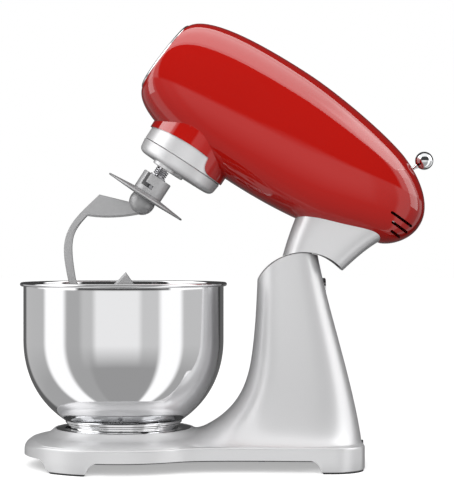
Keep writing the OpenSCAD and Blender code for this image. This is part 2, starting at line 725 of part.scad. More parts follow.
module motor_fan() {
  color([0.15, 0.15, 0.16]) translate([148, 0, motor_z]) rotate([0, 90, 0]) difference() {
    union() {
      cylinder(r = 9, h = 10);
      cylinder(r = 28, h = 1.5);
      for (i = [0:fan_blades - 1]) rotate(360 * i / fan_blades)
        translate([8, -0.8, 1]) cube([20, 1.6, 9]);
    }
    translate([0, 0, -1]) cylinder(r = 4, h = 20);
  }
}
module control_board() {
  color([0.1, 0.35, 0.18]) {
    translate([100, -24, motor_z + 40]) cube([56, 48, 1.6]);
    for (x = [106, 128]) translate([x, -16, motor_z + 36.2]) cube([12, 32, 4]);
  }
}
module speed_switch() {
  color([0.15, 0.15, 0.16]) at_lever() difference() {
    translate([-9, -17, -12]) cube([18, 34, 20]);
    translate([-4.5, -13, -6.5]) cube([9, 26, 20]);
    translate([-12, 0, 0]) rotate([0, 90, 0]) cylinder(r = 2 + run_gap, h = 24);
  }
}
module speed_lever() {
  color([0.86, 0.87, 0.88]) at_lever() {
    cylinder(r = lever_r, h = lever_depth + norm(lever_dir) - 8);
    translate([-3.6, 0, 0]) rotate([0, 90, 0]) cylinder(r = 5, h = 7.2);
    translate([-8.9, 0, 0]) rotate([0, 90, 0]) cylinder(r = 2, h = 17.8);
  }
}
module lever_ball() {
  color([0.9, 0.9, 0.91]) translate([ball_x, 0, ball_z]) difference() {
    sphere(r = ball_r);
    rotate([0, lever_a, 0]) translate([0, 0, -20]) cylinder(r = lever_r, h = 12);
  }
}

// ---------------------------------------------------------------- dough hook

shield_z = hub_top - 23.9;
shield_t = 6.4;
shield_rim_z = shield_z - 0.9;
shield_edge = 1.1;
bulb_z = shield_z - 7.6;
bulb_r = 14.2;
function turned(p, a) = [p[0] * cos(a) + p[1] * sin(a), p[1] * cos(a) - p[0] * sin(a)];
module hook_hub() {
  color([0.68, 0.68, 0.7]) at_shaft() difference() {
    union() {
      cylinder_at(0, 0, shield_z + shield_t / 2, hub_r, hub_top - shield_z - shield_t / 2);
      cylinder_at(0, 0, shield_z - 8, 8, 8.3 + shield_t / 2);
    }
    cylinder_at(0, 0, hub_floor, shaft_r + run_gap, 30);
    // bayonet slot on both sides: level run, then the way out at the top
    for (side = [0, 180]) rotate(side) {
      translate([0, 0, slot_z - slot_half]) linear_extrude(2 * slot_half) polygon([[-slot_half, 0],
        [-slot_half, hub_r + 3], turned([0, hub_r + 5], lock_angle / 2),
        turned([slot_half, hub_r + 3], lock_angle), turned([slot_half, 0], lock_angle)]);
      rotate(-lock_angle) translate([-leg_half, 0, slot_z])
        cube([2 * leg_half, hub_r + 4, hub_top - slot_z + 1]);
    }
  }
}
module hook_shield() {
  top = shield_z + shield_t / 2;
  low = shield_z - shield_t / 2;
  color([0.68, 0.68, 0.7]) at_shaft() difference() {
    rotate_extrude($fn = 96) polygon([[0, low], [bulb_r, low], [shield_r - 1, shield_rim_z - shield_edge],
      [shield_r, shield_rim_z - shield_edge / 3], [shield_r, shield_rim_z + shield_edge / 3],
      [shield_r - 1, shield_rim_z + shield_edge], [hub_r, top], [0, top]]);
    cylinder_at(0, 0, 150, 8, 60);
  }
}
// The arm is a flat plate that runs from the bulb over its shoulder, down, and round under the
// dough to the tip. Matching stretches of its outer and inner edges, as [x, z] from the shaft.
arm_half = 5;
shoulder = [-42.9, 156.2];
heel = [-41.5, 129.3];
apex = [26.6, 100.7];
tip_end = [44.5, 93.6];
arm_steps = [6, 6, 9, 6, 8];
arm_outer = [
  [[-4.5, 169.5], [-17.3, 165.1], [-30.1, 160.6], shoulder],
  [shoulder, [-47, 138.5], [-51.2, 124], [-50.8, 111]],
  [[-50.8, 111], [-50.3, 90], [-38, 77], [-19.5, 58.6]],
  [[-19.5, 58.6], [-13.5, 52.6], [-1.5, 49.6], [12.5, 53]],
  [[12.5, 53], [30.5, 58], [43.5, 72], tip_end]];
arm_inner = [
  [[5.5, 162.3], [-10.5, 146], [-29.5, 134.5], heel],
  [heel, [-43.5, 120], [-43.7, 113], [-43.2, 108.5]],
  [[-43.2, 108.5], [-41.8, 95.5], [-31, 82.5], [-15.3, 65.6]],
  [[-15.3, 65.6], [-10, 60], [-1, 57.6], [8.5, 60]],
  [[8.5, 60], [19, 63], [22.5, 78], apex]];
function edge(chain) = [for (i = [0:len(chain) - 1]) each curve(chain[i], arm_steps[i], i == 0 ? 0 : 1)];
function unit(v) = v / norm(v);
// Loft of bevelled sections between two edges; the bevels are `lip` deep and `out` and `in` wide.
module plate(outer, inner, half, lip, out, in) {
  loft([for (k = [0:len(outer) - 1]) let (o = outer[k], i = inner[k], w = unit(i - o), a = o + out * w,
      b = i - in * w)
    [[a[0], -half, a[1]], [o[0], lip - half, o[1]], [o[0], half - lip, o[1]], [a[0], half, a[1]],
      [b[0], half, b[1]], [i[0], half - lip, i[1]], [i[0], lip - half, i[1]], [b[0], -half, b[1]]]]);
}
module hook_arm() {
  color([0.68, 0.68, 0.7]) at_shaft() difference() {
    union() {
      intersection() {
        translate([0, 0, bulb_z]) sphere(r = bulb_r);
        translate([-20, -20, 150]) cube([40, 40, shield_z - shield_t / 2 - 150]);
      }
      plate(edge(arm_outer), edge(arm_inner), arm_half, 1.2, 0.9, 2.2);
    }
    cylinder_at(0, 0, shield_z - 8, 8, 30);
  }
}

// ---------------------------------------------------------------- bowl

floor_z = 49.5;
wall_top_z = rim_z - bead_r;
module bowl() {
  floor_r = foot_r + 4.5;
  outer = concat([[bowl_r, wall_top_z]],
    curve([[bowl_r, 138], [bowl_r, 95], [89, 66], [floor_r, floor_z]], 14));
  inner = concat(
    curve([[floor_r, floor_z + bowl_wall], [89 - bowl_wall, 66 + bowl_wall],
      [bowl_r - bowl_wall, 95], [bowl_r - bowl_wall, 138]], 14),
    [[bowl_r - bowl_wall, wall_top_z]]);
  color([0.85, 0.86, 0.87]) {
    rotate_extrude($fn = 128) polygon(concat([[0, floor_z + bowl_wall], [0, floor_z]],
      [for (i = [len(outer) - 1:-1:0]) outer[i]], [for (i = [len(inner) - 1:-1:0]) inner[i]]));
    rotate_extrude($fn = 128) translate([rim_r - bead_r, wall_top_z])
      circle(r = bead_r, $fn = 24);
  }
}
module bowl_foot() {
  color([0.85, 0.86, 0.87]) {
    rotate_extrude($fn = 128) polygon([[foot_r - 4.5, lug_top - lug_t], [foot_r, lug_top - lug_t],
      [foot_r, 44.6], [foot_r + 2.6, 45], [foot_r + 2.6, 46.8], [foot_r + 4.3, 47.2],
      [foot_r + 4.3, floor_z], [foot_r - 4.5, floor_z]]);
    for (a = [0, 120, 240]) rotate(a + notch_a - bowl_lock + 2) rotate_extrude(angle = 20)
      translate([foot_r - 1, lug_top - lug_t]) square([lug_r - foot_r + 1, lug_t]);
  }
}

// ---------------------------------------------------------------- assembly

translate([-box_mid_x, 0, 0]) {
  stand_casting();
  base_cover();
  base_cover_screws();
  rubber_feet();
  cord_gland();
  bowl_seat();
  bowl_seat_screws();
  hinge_pin();
  hinge_plug();
  release_button();
  button_bracket();
  bowl();
  bowl_foot();
  raised() {
    head_housing();
    rear_cap();
    front_plate();
    hub_socket();
    hub_hinge_pin();
    hub_cover();
    neck_casting();
    hinge_bracket();
    hinge_bushes();
    gear_case();
    collar_ring();
    ring_gear();
    motor_stator();
    motor_bracket();
    control_board();
    speed_switch();
    motor_shaft();
    motor_rotor();
    motor_fan();
    speed_lever();
    lever_ball();
    planet_carrier();
    drive_shaft();
    shaft_bush();
    beater_shaft();
    planet_gear();
    shaft_pin();
    shaft_spring();
    spring_washer();
    hook_hub();
    hook_shield();
    hook_arm();
  }
}
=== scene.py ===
# Tilt-head stand mixer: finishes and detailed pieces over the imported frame.
# Pieces are drawn in millimetres with the bowl's axis at x = 0 and the head down,
# then set into the frame. Head pieces are tipped up at the hinge on the way.
import json
import math

import bmesh
import bpy
import numpy
from mathutils import Matrix, Vector

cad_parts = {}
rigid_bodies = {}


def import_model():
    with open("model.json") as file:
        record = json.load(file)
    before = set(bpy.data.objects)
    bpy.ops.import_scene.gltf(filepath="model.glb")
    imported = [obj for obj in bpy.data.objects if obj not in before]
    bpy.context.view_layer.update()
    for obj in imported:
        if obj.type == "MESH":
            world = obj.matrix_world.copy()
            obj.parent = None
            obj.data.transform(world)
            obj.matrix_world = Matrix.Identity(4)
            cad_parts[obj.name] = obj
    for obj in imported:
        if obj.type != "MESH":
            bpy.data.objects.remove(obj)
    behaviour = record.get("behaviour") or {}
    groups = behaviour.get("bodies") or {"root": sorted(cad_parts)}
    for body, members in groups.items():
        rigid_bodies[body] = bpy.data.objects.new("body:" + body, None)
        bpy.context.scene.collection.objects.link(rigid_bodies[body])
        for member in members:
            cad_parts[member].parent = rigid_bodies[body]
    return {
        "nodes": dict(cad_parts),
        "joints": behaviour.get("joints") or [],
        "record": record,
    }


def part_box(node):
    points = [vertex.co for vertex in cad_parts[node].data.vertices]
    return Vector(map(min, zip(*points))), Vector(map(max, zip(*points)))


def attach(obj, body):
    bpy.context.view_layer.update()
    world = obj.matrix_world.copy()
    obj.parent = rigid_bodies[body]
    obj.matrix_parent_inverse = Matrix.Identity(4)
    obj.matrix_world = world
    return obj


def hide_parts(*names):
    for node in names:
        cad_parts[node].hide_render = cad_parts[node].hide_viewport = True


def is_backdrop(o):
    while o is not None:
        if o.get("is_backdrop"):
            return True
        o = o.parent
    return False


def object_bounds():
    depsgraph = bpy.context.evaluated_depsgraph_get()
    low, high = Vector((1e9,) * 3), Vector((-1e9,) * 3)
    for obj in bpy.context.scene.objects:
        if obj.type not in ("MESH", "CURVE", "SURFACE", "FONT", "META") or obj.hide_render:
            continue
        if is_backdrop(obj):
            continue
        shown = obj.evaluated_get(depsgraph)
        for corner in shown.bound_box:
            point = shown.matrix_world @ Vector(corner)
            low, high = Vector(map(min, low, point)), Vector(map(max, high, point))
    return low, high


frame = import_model()
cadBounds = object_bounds()
print("frame loaded:", len(frame["nodes"]), "nodes")

slotOf = {part["node"]: part["material_slot"] for part in frame["record"]["subparts"]}
headTilt = next(joint for joint in frame["joints"] if joint["name"] == "head_tilt")
tiltAngle = math.radians(headTilt["range_deg"][1])
bowlX = sum(corner.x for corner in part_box("bowl")) / 2


# placing

level = Matrix.Translation((bowlX, 0, 0)) @ Matrix.Scale(0.001, 4)
hinge = Vector(headTilt["pos_m"])
tipped = (Matrix.Translation(hinge) @ Matrix.Rotation(tiltAngle, 4, "Y")
          @ Matrix.Translation(-hinge) @ level)
hingeX = (hinge.x - bowlX) * 1000
hingeZ = hinge.z * 1000


def turned(degrees, axis):
    return Matrix.Rotation(math.radians(degrees), 4, axis)


# curves

def cubic(points, t):
    a, b, c, d = (Vector(point) for point in points)
    s = 1 - t
    return a * s ** 3 + b * 3 * s * s * t + c * 3 * s * t * t + d * t ** 3


def drawn(chain, steps):
    return [cubic(points, i / steps) for points in chain for i in range(steps + 1)]


def follow(chain, axis):
    # reads the other coordinate of a chain of curves where it passes a value
    points = sorted(drawn(chain, 300), key=lambda point: point[axis])
    places = [point[axis] for point in points]
    values = [point[1 - axis] for point in points]
    return lambda value: float(numpy.interp(value, places, values))


def bend(value, squareness):
    return math.copysign(abs(value) ** (2 / squareness), value)


def smoothMax(a, b, width):
    near = max(width - abs(a - b), 0) / width
    return max(a, b) + near * near * width / 4


# making pieces

def wrap(around, along, place, closed=True):
    # a grid rolled into a tube by place(u, v), with its ends filled
    bm = bmesh.new()
    bmesh.ops.create_grid(bm, x_segments=around, y_segments=along, size=0.5)
    for vert in bm.verts:
        vert.co = place(vert.co.x + 0.5, vert.co.y + 0.5)
    bmesh.ops.remove_doubles(bm, verts=bm.verts, dist=0.002)
    if closed:
        bmesh.ops.holes_fill(bm, edges=bm.edges, sides=0)
        bmesh.ops.recalc_face_normals(bm, faces=bm.faces)
    return bm


def spun(profile, steps=160, closed=False):
    # turns a list of (radius, height) points about the z axis
    bm = bmesh.new()
    verts = [bm.verts.new((radius, 0, height)) for radius, height in profile]
    edges = [bm.edges.new(pair) for pair in zip(verts, verts[1:])]
    if closed:
        edges.append(bm.edges.new((verts[-1], verts[0])))
    bmesh.ops.spin(bm, geom=verts + edges, cent=(0, 0, 0), axis=(0, 0, 1), angle=math.tau,
                   steps=steps, use_merge=True)
    bmesh.ops.remove_doubles(bm, verts=bm.verts, dist=0.002)
    bmesh.ops.recalc_face_normals(bm, faces=bm.faces)
    return bm


def rod(radius, low, high, sides=64):
    bm = bmesh.new()
    bmesh.ops.create_cone(bm, cap_ends=True, segments=sides, radius1=radius, radius2=radius,
                          depth=high - low, matrix=Matrix.Translation((0, 0, (low + high) / 2)))
    return bm


def block(low, high, rounding=0, axis=None, segments=6):
    # a box between two corners; axis picks the edges that are rounded
    bm = bmesh.new()
    size = Vector(high) - Vector(low)
    bmesh.ops.create_cube(bm, size=1, matrix=Matrix.Translation((Vector(low) + Vector(high)) / 2)
                          @ Matrix.Diagonal((*size, 1)))
    if rounding:
        edges = [edge for edge in bm.edges if axis is None
                 or abs((edge.verts[0].co - edge.verts[1].co).normalized()[axis]) > 0.9]
        bmesh.ops.bevel(bm, geom=edges, offset=rounding, segments=segments, profile=0.5,
                        affect="EDGES", material=-1, clamp_overlap=True)
    return bm


def swept(corners, way):
    # a flat face drawn out along a straight way
    bm = bmesh.new()
    face = bm.faces.new([bm.verts.new(corner) for corner in corners])
    far = bmesh.ops.extrude_face_region(bm, geom=[face])["geom"]
    bmesh.ops.translate(bm, vec=way, verts=[item for item in far if isinstance(item, bmesh.types.BMVert)])
    bmesh.ops.recalc_face_normals(bm, faces=bm.faces)
    return bm


def trimmed(bm, place, way):
    # cuts off what lies past a plane and closes the cut
    bmesh.ops.bisect_plane(bm, geom=bm.verts[:] + bm.edges[:] + bm.faces[:], dist=0.001,
                           plane_co=place, plane_no=way, clear_outer=True)
    bmesh.ops.holes_fill(bm, edges=bm.edges, sides=0)
    bmesh.ops.recalc_face_normals(bm, faces=bm.faces)
    return bm


def moved(bm, matrix):
    bmesh.ops.transform(bm, matrix=matrix, verts=bm.verts)
    return bm


def joined(*parts):
    # several bmeshes as one
    whole = bmesh.new()
    for part in parts:
        mesh = bpy.data.meshes.new("part")
        part.to_mesh(mesh)
        part.free()
        whole.from_mesh(mesh)
        bpy.data.meshes.remove(mesh)
    return whole


def newObject(bm, name):
    mesh = bpy.data.meshes.new(name)
    bm.to_mesh(mesh)
    bm.free()
    made = bpy.data.objects.new(name, mesh)
    bpy.context.scene.collection.objects.link(made)
    return made


def settled(thing):
    # the object's mesh with its modifiers worked in
    shape = thing.evaluated_get(bpy.context.evaluated_depsgraph_get())
    mesh = bpy.data.meshes.new_from_object(shape)
    thing.modifiers.clear()
    thing.data = mesh


def carve(thing, cutters, operation="DIFFERENCE"):
    for bm in cutters:
        cutter = newObject(bm, "cutter")
        cut = thing.modifiers.new("cut", "BOOLEAN")
        cut.operation = operation
        cut.solver = "EXACT"
        cut.object = cutter
        settled(thing)
        bpy.data.objects.remove(cutter)


def finishPiece(thing, place, body, *nodes, sharp=30):
    # sets the piece in the frame, marks its sharp edges and hands it to its body
    bm = bmesh.new()
    bm.from_mesh(thing.data)
    bmesh.ops.transform(bm, matrix=place, verts=bm.verts)
    bmesh.ops.dissolve_degenerate(bm, edges=bm.edges, dist=1e-7)
    for face in bm.faces:
        face.smooth = True
    for edge in bm.edges:
        edge.smooth = edge.calc_face_angle(0) < math.radians(sharp)
    bm.to_mesh(thing.data)
    bm.free()
    slot = slotOf[nodes[0]]
    thing.data.materials.clear()
    thing.data.materials.append(finishes[slot])
    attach(thing, body)
    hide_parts(*nodes)
    print("made", thing.name)


# finishes

class Wire:
    # one socket of a material; arithmetic on wires adds Math nodes
    def __init__(self, tree, socket=None):
        self.tree = tree
        self.socket = socket

    def node(self, kind, settings=None, sockets=None, output=0):
        made = self.tree.nodes.new(kind)
        for name, value in (settings or {}).items():
            if name == "stops":
                stops = made.color_ramp.elements
                while len(stops) < len(value):
                    stops.new(1)
                for stop, (position, shade) in zip(stops, value):
                    stop.position = position
                    stop.color = (shade, shade, shade, 1)
            else:
                setattr(made, name, value)
        for name, value in (sockets or {}).items():
            if isinstance(value, Wire):
                self.tree.links.new(value.socket, made.inputs[name])
            else:
                made.inputs[name].default_value = value
        return Wire(self.tree, made.outputs[output])

    def maths(self, operation, *values):
        return self.node("ShaderNodeMath", {"operation": operation}, dict(enumerate(values)))

    def __add__(self, other):
        return self.maths("ADD", self, other)

    def __sub__(self, other):
        return self.maths("SUBTRACT", self, other)

    def __rsub__(self, other):
        return self.maths("SUBTRACT", other, self)

    def __mul__(self, other):
        return self.maths("MULTIPLY", self, other)

    def __gt__(self, other):
        return self.maths("GREATER_THAN", self, other)


def newFinish(name, colour, metallic, roughness, **shaderValues):
    material = bpy.data.materials.new(name)
    material.use_nodes = True
    surface = material.node_tree.nodes["Principled BSDF"]
    surface.inputs["Base Color"].default_value = (*colour, 1)
    surface.inputs["Metallic"].default_value = metallic
    surface.inputs["Roughness"].default_value = roughness
    for key, value in shaderValues.items():
        surface.inputs[key.replace("_", " ")].default_value = value
    material.diffuse_color = (*colour, 1)
    return material, Wire(material.node_tree), surface


def plug(surface, name, wire):
    wire.tree.links.new(wire.socket, surface.inputs[name])


def noise(wire, scale, detail=2, stretch=None):
    place = wire.node("ShaderNodeTexCoord", output=3)
    if stretch:
        place = wire.node("ShaderNodeVectorMath", {"operation": "MULTIPLY"}, {0: place, 1: stretch})
    return wire.node("ShaderNodeTexNoise", {}, {"Vector": place, "Scale": scale, "Detail": detail})


def mix(wire, factor, first, second):
    return wire.node("ShaderNodeMix", {"data_type": "RGBA"},
                     {0: factor, 6: first if isinstance(first, Wire) else (*first, 1),
                      7: second if isinstance(second, Wire) else (*second, 1)}, output=2)


def bump(surface, wire, height, depth, strength=1):
    # depth is the real depth of the relief in metres
    plug(surface, "Normal", wire.node("ShaderNodeBump", {}, {"Strength": strength, "Distance": depth,
                                                             "Height": height}))


def redPaint():
    paint = {"bright": (0.4, 0.007, 0.004), "deep": (0.34, 0.006, 0.004)}
    material, wire, surface = newFinish("redPaint", paint["bright"], 0, 0.4, Coat_Weight=1,
                                        Coat_Roughness=0.03, Coat_IOR=1.47, Specular_IOR_Level=0)
    cloud = noise(wire, 6)
    plug(surface, "Base Color", mix(wire, cloud, paint["bright"], paint["deep"]))
    plug(surface, "Roughness", noise(wire, 900) * 0.08 + 0.36)
    bump(surface, wire, noise(wire, 420), 0.00001, 0.3)
    return material


def silverPaint():
    paint = {"light": (0.7, 0.7, 0.705), "dark": (0.62, 0.62, 0.63)}
    material, wire, surface = newFinish("silverPaint", paint["light"], 0.42, 0.36, Coat_Weight=0.1,
                                        Coat_Roughness=0.2)
    flake = noise(wire, 3800, 1)
    plug(surface, "Base Color", mix(wire, flake, paint["dark"], paint["light"]))
    plug(surface, "Roughness", noise(wire, 1500) * 0.1 + 0.3)
    bump(surface, wire, flake, 0.00002, 0.35)
    return material


def bareCasting():
    material, wire, surface = newFinish("bareCasting", (0.42, 0.42, 0.44), 0.85, 0.5)
    grain = noise(wire, 700, 4)
    plug(surface, "Base Color", mix(wire, noise(wire, 40), (0.36, 0.36, 0.38), (0.48, 0.48, 0.5)))
    plug(surface, "Roughness", grain * 0.25 + 0.4)
    bump(surface, wire, grain, 0.00008, 0.5)
    return material


def polishedSteel():
    # fine turning marks run round the bowl: noise that is stretched flat reads as rings
    material, wire, surface = newFinish("polishedSteel", (0.8, 0.8, 0.81), 1, 0.06)
    rings = noise(wire, 1, 3, (8, 8, 900))
    haze = noise(wire, 14, 2)
    plug(surface, "Roughness", rings * 0.03 + haze * 0.03 + 0.03)
    bump(surface, wire, rings, 0.000004, 0.4)
    return material


def turnedSteel():
    material, wire, surface = newFinish("turnedSteel", (0.5, 0.5, 0.52), 1, 0.3)
    marks = noise(wire, 1, 2, (300, 300, 2600))
    plug(surface, "Base Color", mix(wire, marks, (0.42, 0.42, 0.44), (0.58, 0.58, 0.6)))
    plug(surface, "Roughness", marks * 0.2 + 0.2)
    bump(surface, wire, marks, 0.00002, 0.4)
    return material


def brightChrome():
    material, wire, surface = newFinish("brightChrome", (0.86, 0.87, 0.88), 1, 0.05)
    plug(surface, "Roughness", noise(wire, 60, 3) * 0.05 + 0.025)
    bump(surface, wire, noise(wire, 120), 0.00001, 0.2)
    return material


def hookAlloy():
    tone = {"light": (0.47, 0.47, 0.475), "dark": (0.38, 0.38, 0.385)}
    material, wire, surface = newFinish("hookAlloy", tone["light"], 0.45, 0.42)
    burnish = noise(wire, 260, 4)
    plug(surface, "Base Color", mix(wire, burnish, tone["dark"], tone["light"]))
    plug(surface, "Roughness", burnish * 0.16 + 0.34)
    bump(surface, wire, burnish, 0.00004, 0.3)
    return material


def bronze():
    material, wire, surface = newFinish("bronze", (0.62, 0.4, 0.16), 1, 0.34)
    pores = noise(wire, 2200, 3)
    plug(surface, "Base Color", mix(wire, pores, (0.46, 0.27, 0.1), (0.68, 0.45, 0.19)))
    bump(surface, wire, pores, 0.00003, 0.4)
    return material


def copperCoil():
    # enamelled turns: close bands along the winding, with painted shade darkening the grooves between the
    # turns
    material, wire, surface = newFinish("copperCoil", (0.55, 0.22, 0.09), 1, 0.3)
    place = wire.node("ShaderNodeTexCoord", output=3)
    turns = wire.node("ShaderNodeTexWave", {"bands_direction": "X"},
                      {"Vector": place, "Scale": 320, "Distortion": 0.3})
    # painted shade: the low grooves between turns take the dark colour, the raised turns the copper colour
    plug(surface, "Base Color", mix(wire, turns, (0.2, 0.06, 0.02), (0.66, 0.3, 0.12)))
    bump(surface, wire, turns, 0.0003, 0.7)
    return material


def blackRubber():
    material, wire, surface = newFinish("blackRubber", (0.022, 0.022, 0.023), 0, 0.72)
    grain = noise(wire, 1600, 3)
    plug(surface, "Base Color", mix(wire, grain, (0.015, 0.015, 0.016), (0.035, 0.035, 0.036)))
    bump(surface, wire, grain, 0.00005, 0.6)
    return material


def blackPlastic():
    material, wire, surface = newFinish("blackPlastic", (0.03, 0.03, 0.033), 0, 0.45)
    grain = noise(wire, 2400, 2)
    plug(surface, "Roughness", grain * 0.2 + 0.36)
    bump(surface, wire, grain, 0.00004, 0.5)
    return material


def circuitBoard():
    # lacquered green with lighter tracks in a square pattern
    material, wire, surface = newFinish("circuitBoard", (0.02, 0.16, 0.06), 0, 0.35, Coat_Weight=0.5)
    place = wire.node("ShaderNodeTexCoord", output=3)
    cells = wire.node("ShaderNodeTexVoronoi", {"distance": "CHEBYCHEV", "feature": "F1"},
                      {"Vector": place, "Scale": 260})
    track = (cells > 0.42) * 1
    plug(surface, "Base Color", mix(wire, track, (0.015, 0.13, 0.05), (0.1, 0.34, 0.12)))
    bump(surface, wire, track, 0.00005, 0.6)
    return material


finishes = {
    "red_paint": redPaint(), "silver_paint": silverPaint(), "bare_casting": bareCasting(),
    "polished_steel": polishedSteel(), "steel": turnedSteel(), "chrome": brightChrome(),
    "hook_alloy": hookAlloy(), "bronze": bronze(), "copper_coil": copperCoil(),
    "rubber": blackRubber(), "black_plastic": blackPlastic(), "board": circuitBoard(),
}
for name, node in frame["nodes"].items():
    node.data.materials.clear()
    node.data.materials.append(finishes[slotOf[name]])
print("finishes ready:", len(finishes))


# stand

stand = {
    "front": [[(148, 240), (147, 205), (146, 150), (139.4, 112)],
              [(139.4, 112), (133, 76), (116, 44), (50, 27.5)]],
    "back": [[(211, 240), (222, 175), (250, 100), (260.5, 27.5)]],
    "side": [[(36, 240), (42, 130), (52, 45), (80, 27.5)]],
    "squareness": 3, "baseRadius": 108.5, "blendAngle": 58, "waist": 80, "backWidth": 84,
    "backX": 261, "corner": 36, "creaseZ": 27.5, "splitZ": 62, "topZ": 240,
    "archRadius": 56.3, "archLow": 188, "seatZ": 41, "seatRadius": 74, "saddle": 9,
    "dome": [[(107.7, 27.5), (103.5, 30.3), (97.5, 32.2), (89, 33.6)],
             [(89, 33.6), (84, 34.4), (79.5, 37.5), (76, 41)]],
    "domeRadius": 107.7, "domeTop": 76,
    "feet": {"front": -37, "back": 216.5, "frontHalf": 80, "backHalf": 46,
             "flank": [[(0, 0), (5.7, 1.3), (3.6, 12), (14.5, 14)]]},
    "well": {"radius": 64.5, "z": 33.5}, "button": {"radius": 9.25, "x": 203, "z": 196},
    "cord": {"radius": 5, "x": 245, "z": 21},
    "noseShift": 10,
    "nose": [(-1, 18), (0.2, 21.4), (0.9, 23.9), (2, 25.8), (3.6, 27.6), (6, 29.5), (9, 31.5)],
}
columnFront = follow(stand["front"], 1)
columnBack = follow(stand["back"], 1)
columnSide = follow(stand["side"], 1)
domeHeight = follow(stand["dome"], 0)


def baseOutline():
    # plan of the base, anticlockwise seen from above, starting at its front
    radius, blendAngle = stand["baseRadius"], math.radians(stand["blendAngle"])
    waist, width, backX, corner = stand["waist"], stand["backWidth"], stand["backX"], stand["corner"]
    arc = [Vector((radius * math.cos(a), -radius * math.sin(a)))
           for a in numpy.linspace(math.pi, blendAngle, 80)]
    start = arc[-1]
    along = Vector((math.sin(blendAngle), math.cos(blendAngle)))
    side = drawn([[start, start + along * 19, (92, -waist), (130, -waist)],
                  [(130, -waist), (165, -waist), (195, -width), (backX - corner, -width)],
                  [(backX - corner, -width), (backX - corner * 0.45, -width),
                   (backX, -width + corner * 0.55), (backX, corner - width)]], 60)
    half = arc + side
    return half + [Vector((point.x, -point.y)) for point in reversed(half)]


def evenly(points):
    # reads a closed outline by the share of its length, and its inward direction there
    steps = numpy.array([(b - a).length for a, b in zip(points, points[1:])])
    runs = numpy.concatenate([[0], numpy.cumsum(steps)])
    runs /= runs[-1]
    xs, ys = [p.x for p in points], [p.y for p in points]

    def read(share):
        spot = Vector((float(numpy.interp(share % 1, runs, xs)), float(numpy.interp(share % 1, runs, ys))))
        ahead = (share + 0.002) % 1
        behind = (share - 0.002) % 1
        way = Vector((float(numpy.interp(ahead, runs, xs)) - float(numpy.interp(behind, runs, xs)),
                      float(numpy.interp(ahead, runs, ys)) - float(numpy.interp(behind, runs, ys))))
        return spot, Vector((-way.y, way.x)).normalized()
    return read


def columnSection(z):
    front, back = columnFront(z), columnBack(z)
    return (front + back) / 2, (back - front) / 2, columnSide(z)


columnLevels = numpy.linspace(stand["creaseZ"], stand["splitZ"] + 8, 260)
columnSections = [columnSection(z) for z in columnLevels]


def columnHeight(x, y):
    # height at which the flaring column passes over a point of the base
    low, high, power = 0, len(columnLevels) - 1, stand["squareness"]

    def outside(index):
        middle, half, side = columnSections[index]
        return abs((x - middle) / half) ** power + abs(y / side) ** power - 1
    if outside(low) > 0:
        return stand["creaseZ"] - 25 * outside(low)
    if outside(high) < 0:
        return columnLevels[high]
    while high - low > 1:
        middle = (low + high) // 2
        if outside(middle) < 0:
            low = middle
        else:
            high = middle
    a, b = outside(low), outside(high)
    return columnLevels[low] + (columnLevels[high] - columnLevels[low]) * a / (a - b)


noseHeights = [z for inset, z in stand["nose"]]
noseReaches = [stand["baseRadius"] + stand["noseShift"] - inset for inset, z in stand["nose"]]


def noseHeight(x, y):
    # height of the rounded-off front over a point of the base
    if x > 0:
        return stand["topZ"]
    distance = math.hypot(x - stand["noseShift"], y)
    return float(numpy.interp(distance, noseReaches[::-1], noseHeights[::-1], left=stand["topZ"]))


def softNose(x, y, z):
    # draws a point of the base's wall in to the rounded-off front
    way = Vector((x - stand["noseShift"], y))
    reach = float(numpy.interp(z, noseHeights, noseReaches))
    if x < 0 and z > noseHeights[0] and way.length > reach:
        way *= reach / way.length
    return way.x + stand["noseShift"], way.y, z


def topHeight(x, y):
    # the base's upper side: round dome under the bowl, blended into the column's foot
    past = math.hypot(x, y) - stand["domeRadius"]
    dome = stand["creaseZ"] - past if past >= 0 else domeHeight(math.hypot(x, y))
    top = max(smoothMax(dome, columnHeight(x, y), stand["saddle"]), stand["creaseZ"] + 0.02)
    return min(top, noseHeight(x, y))


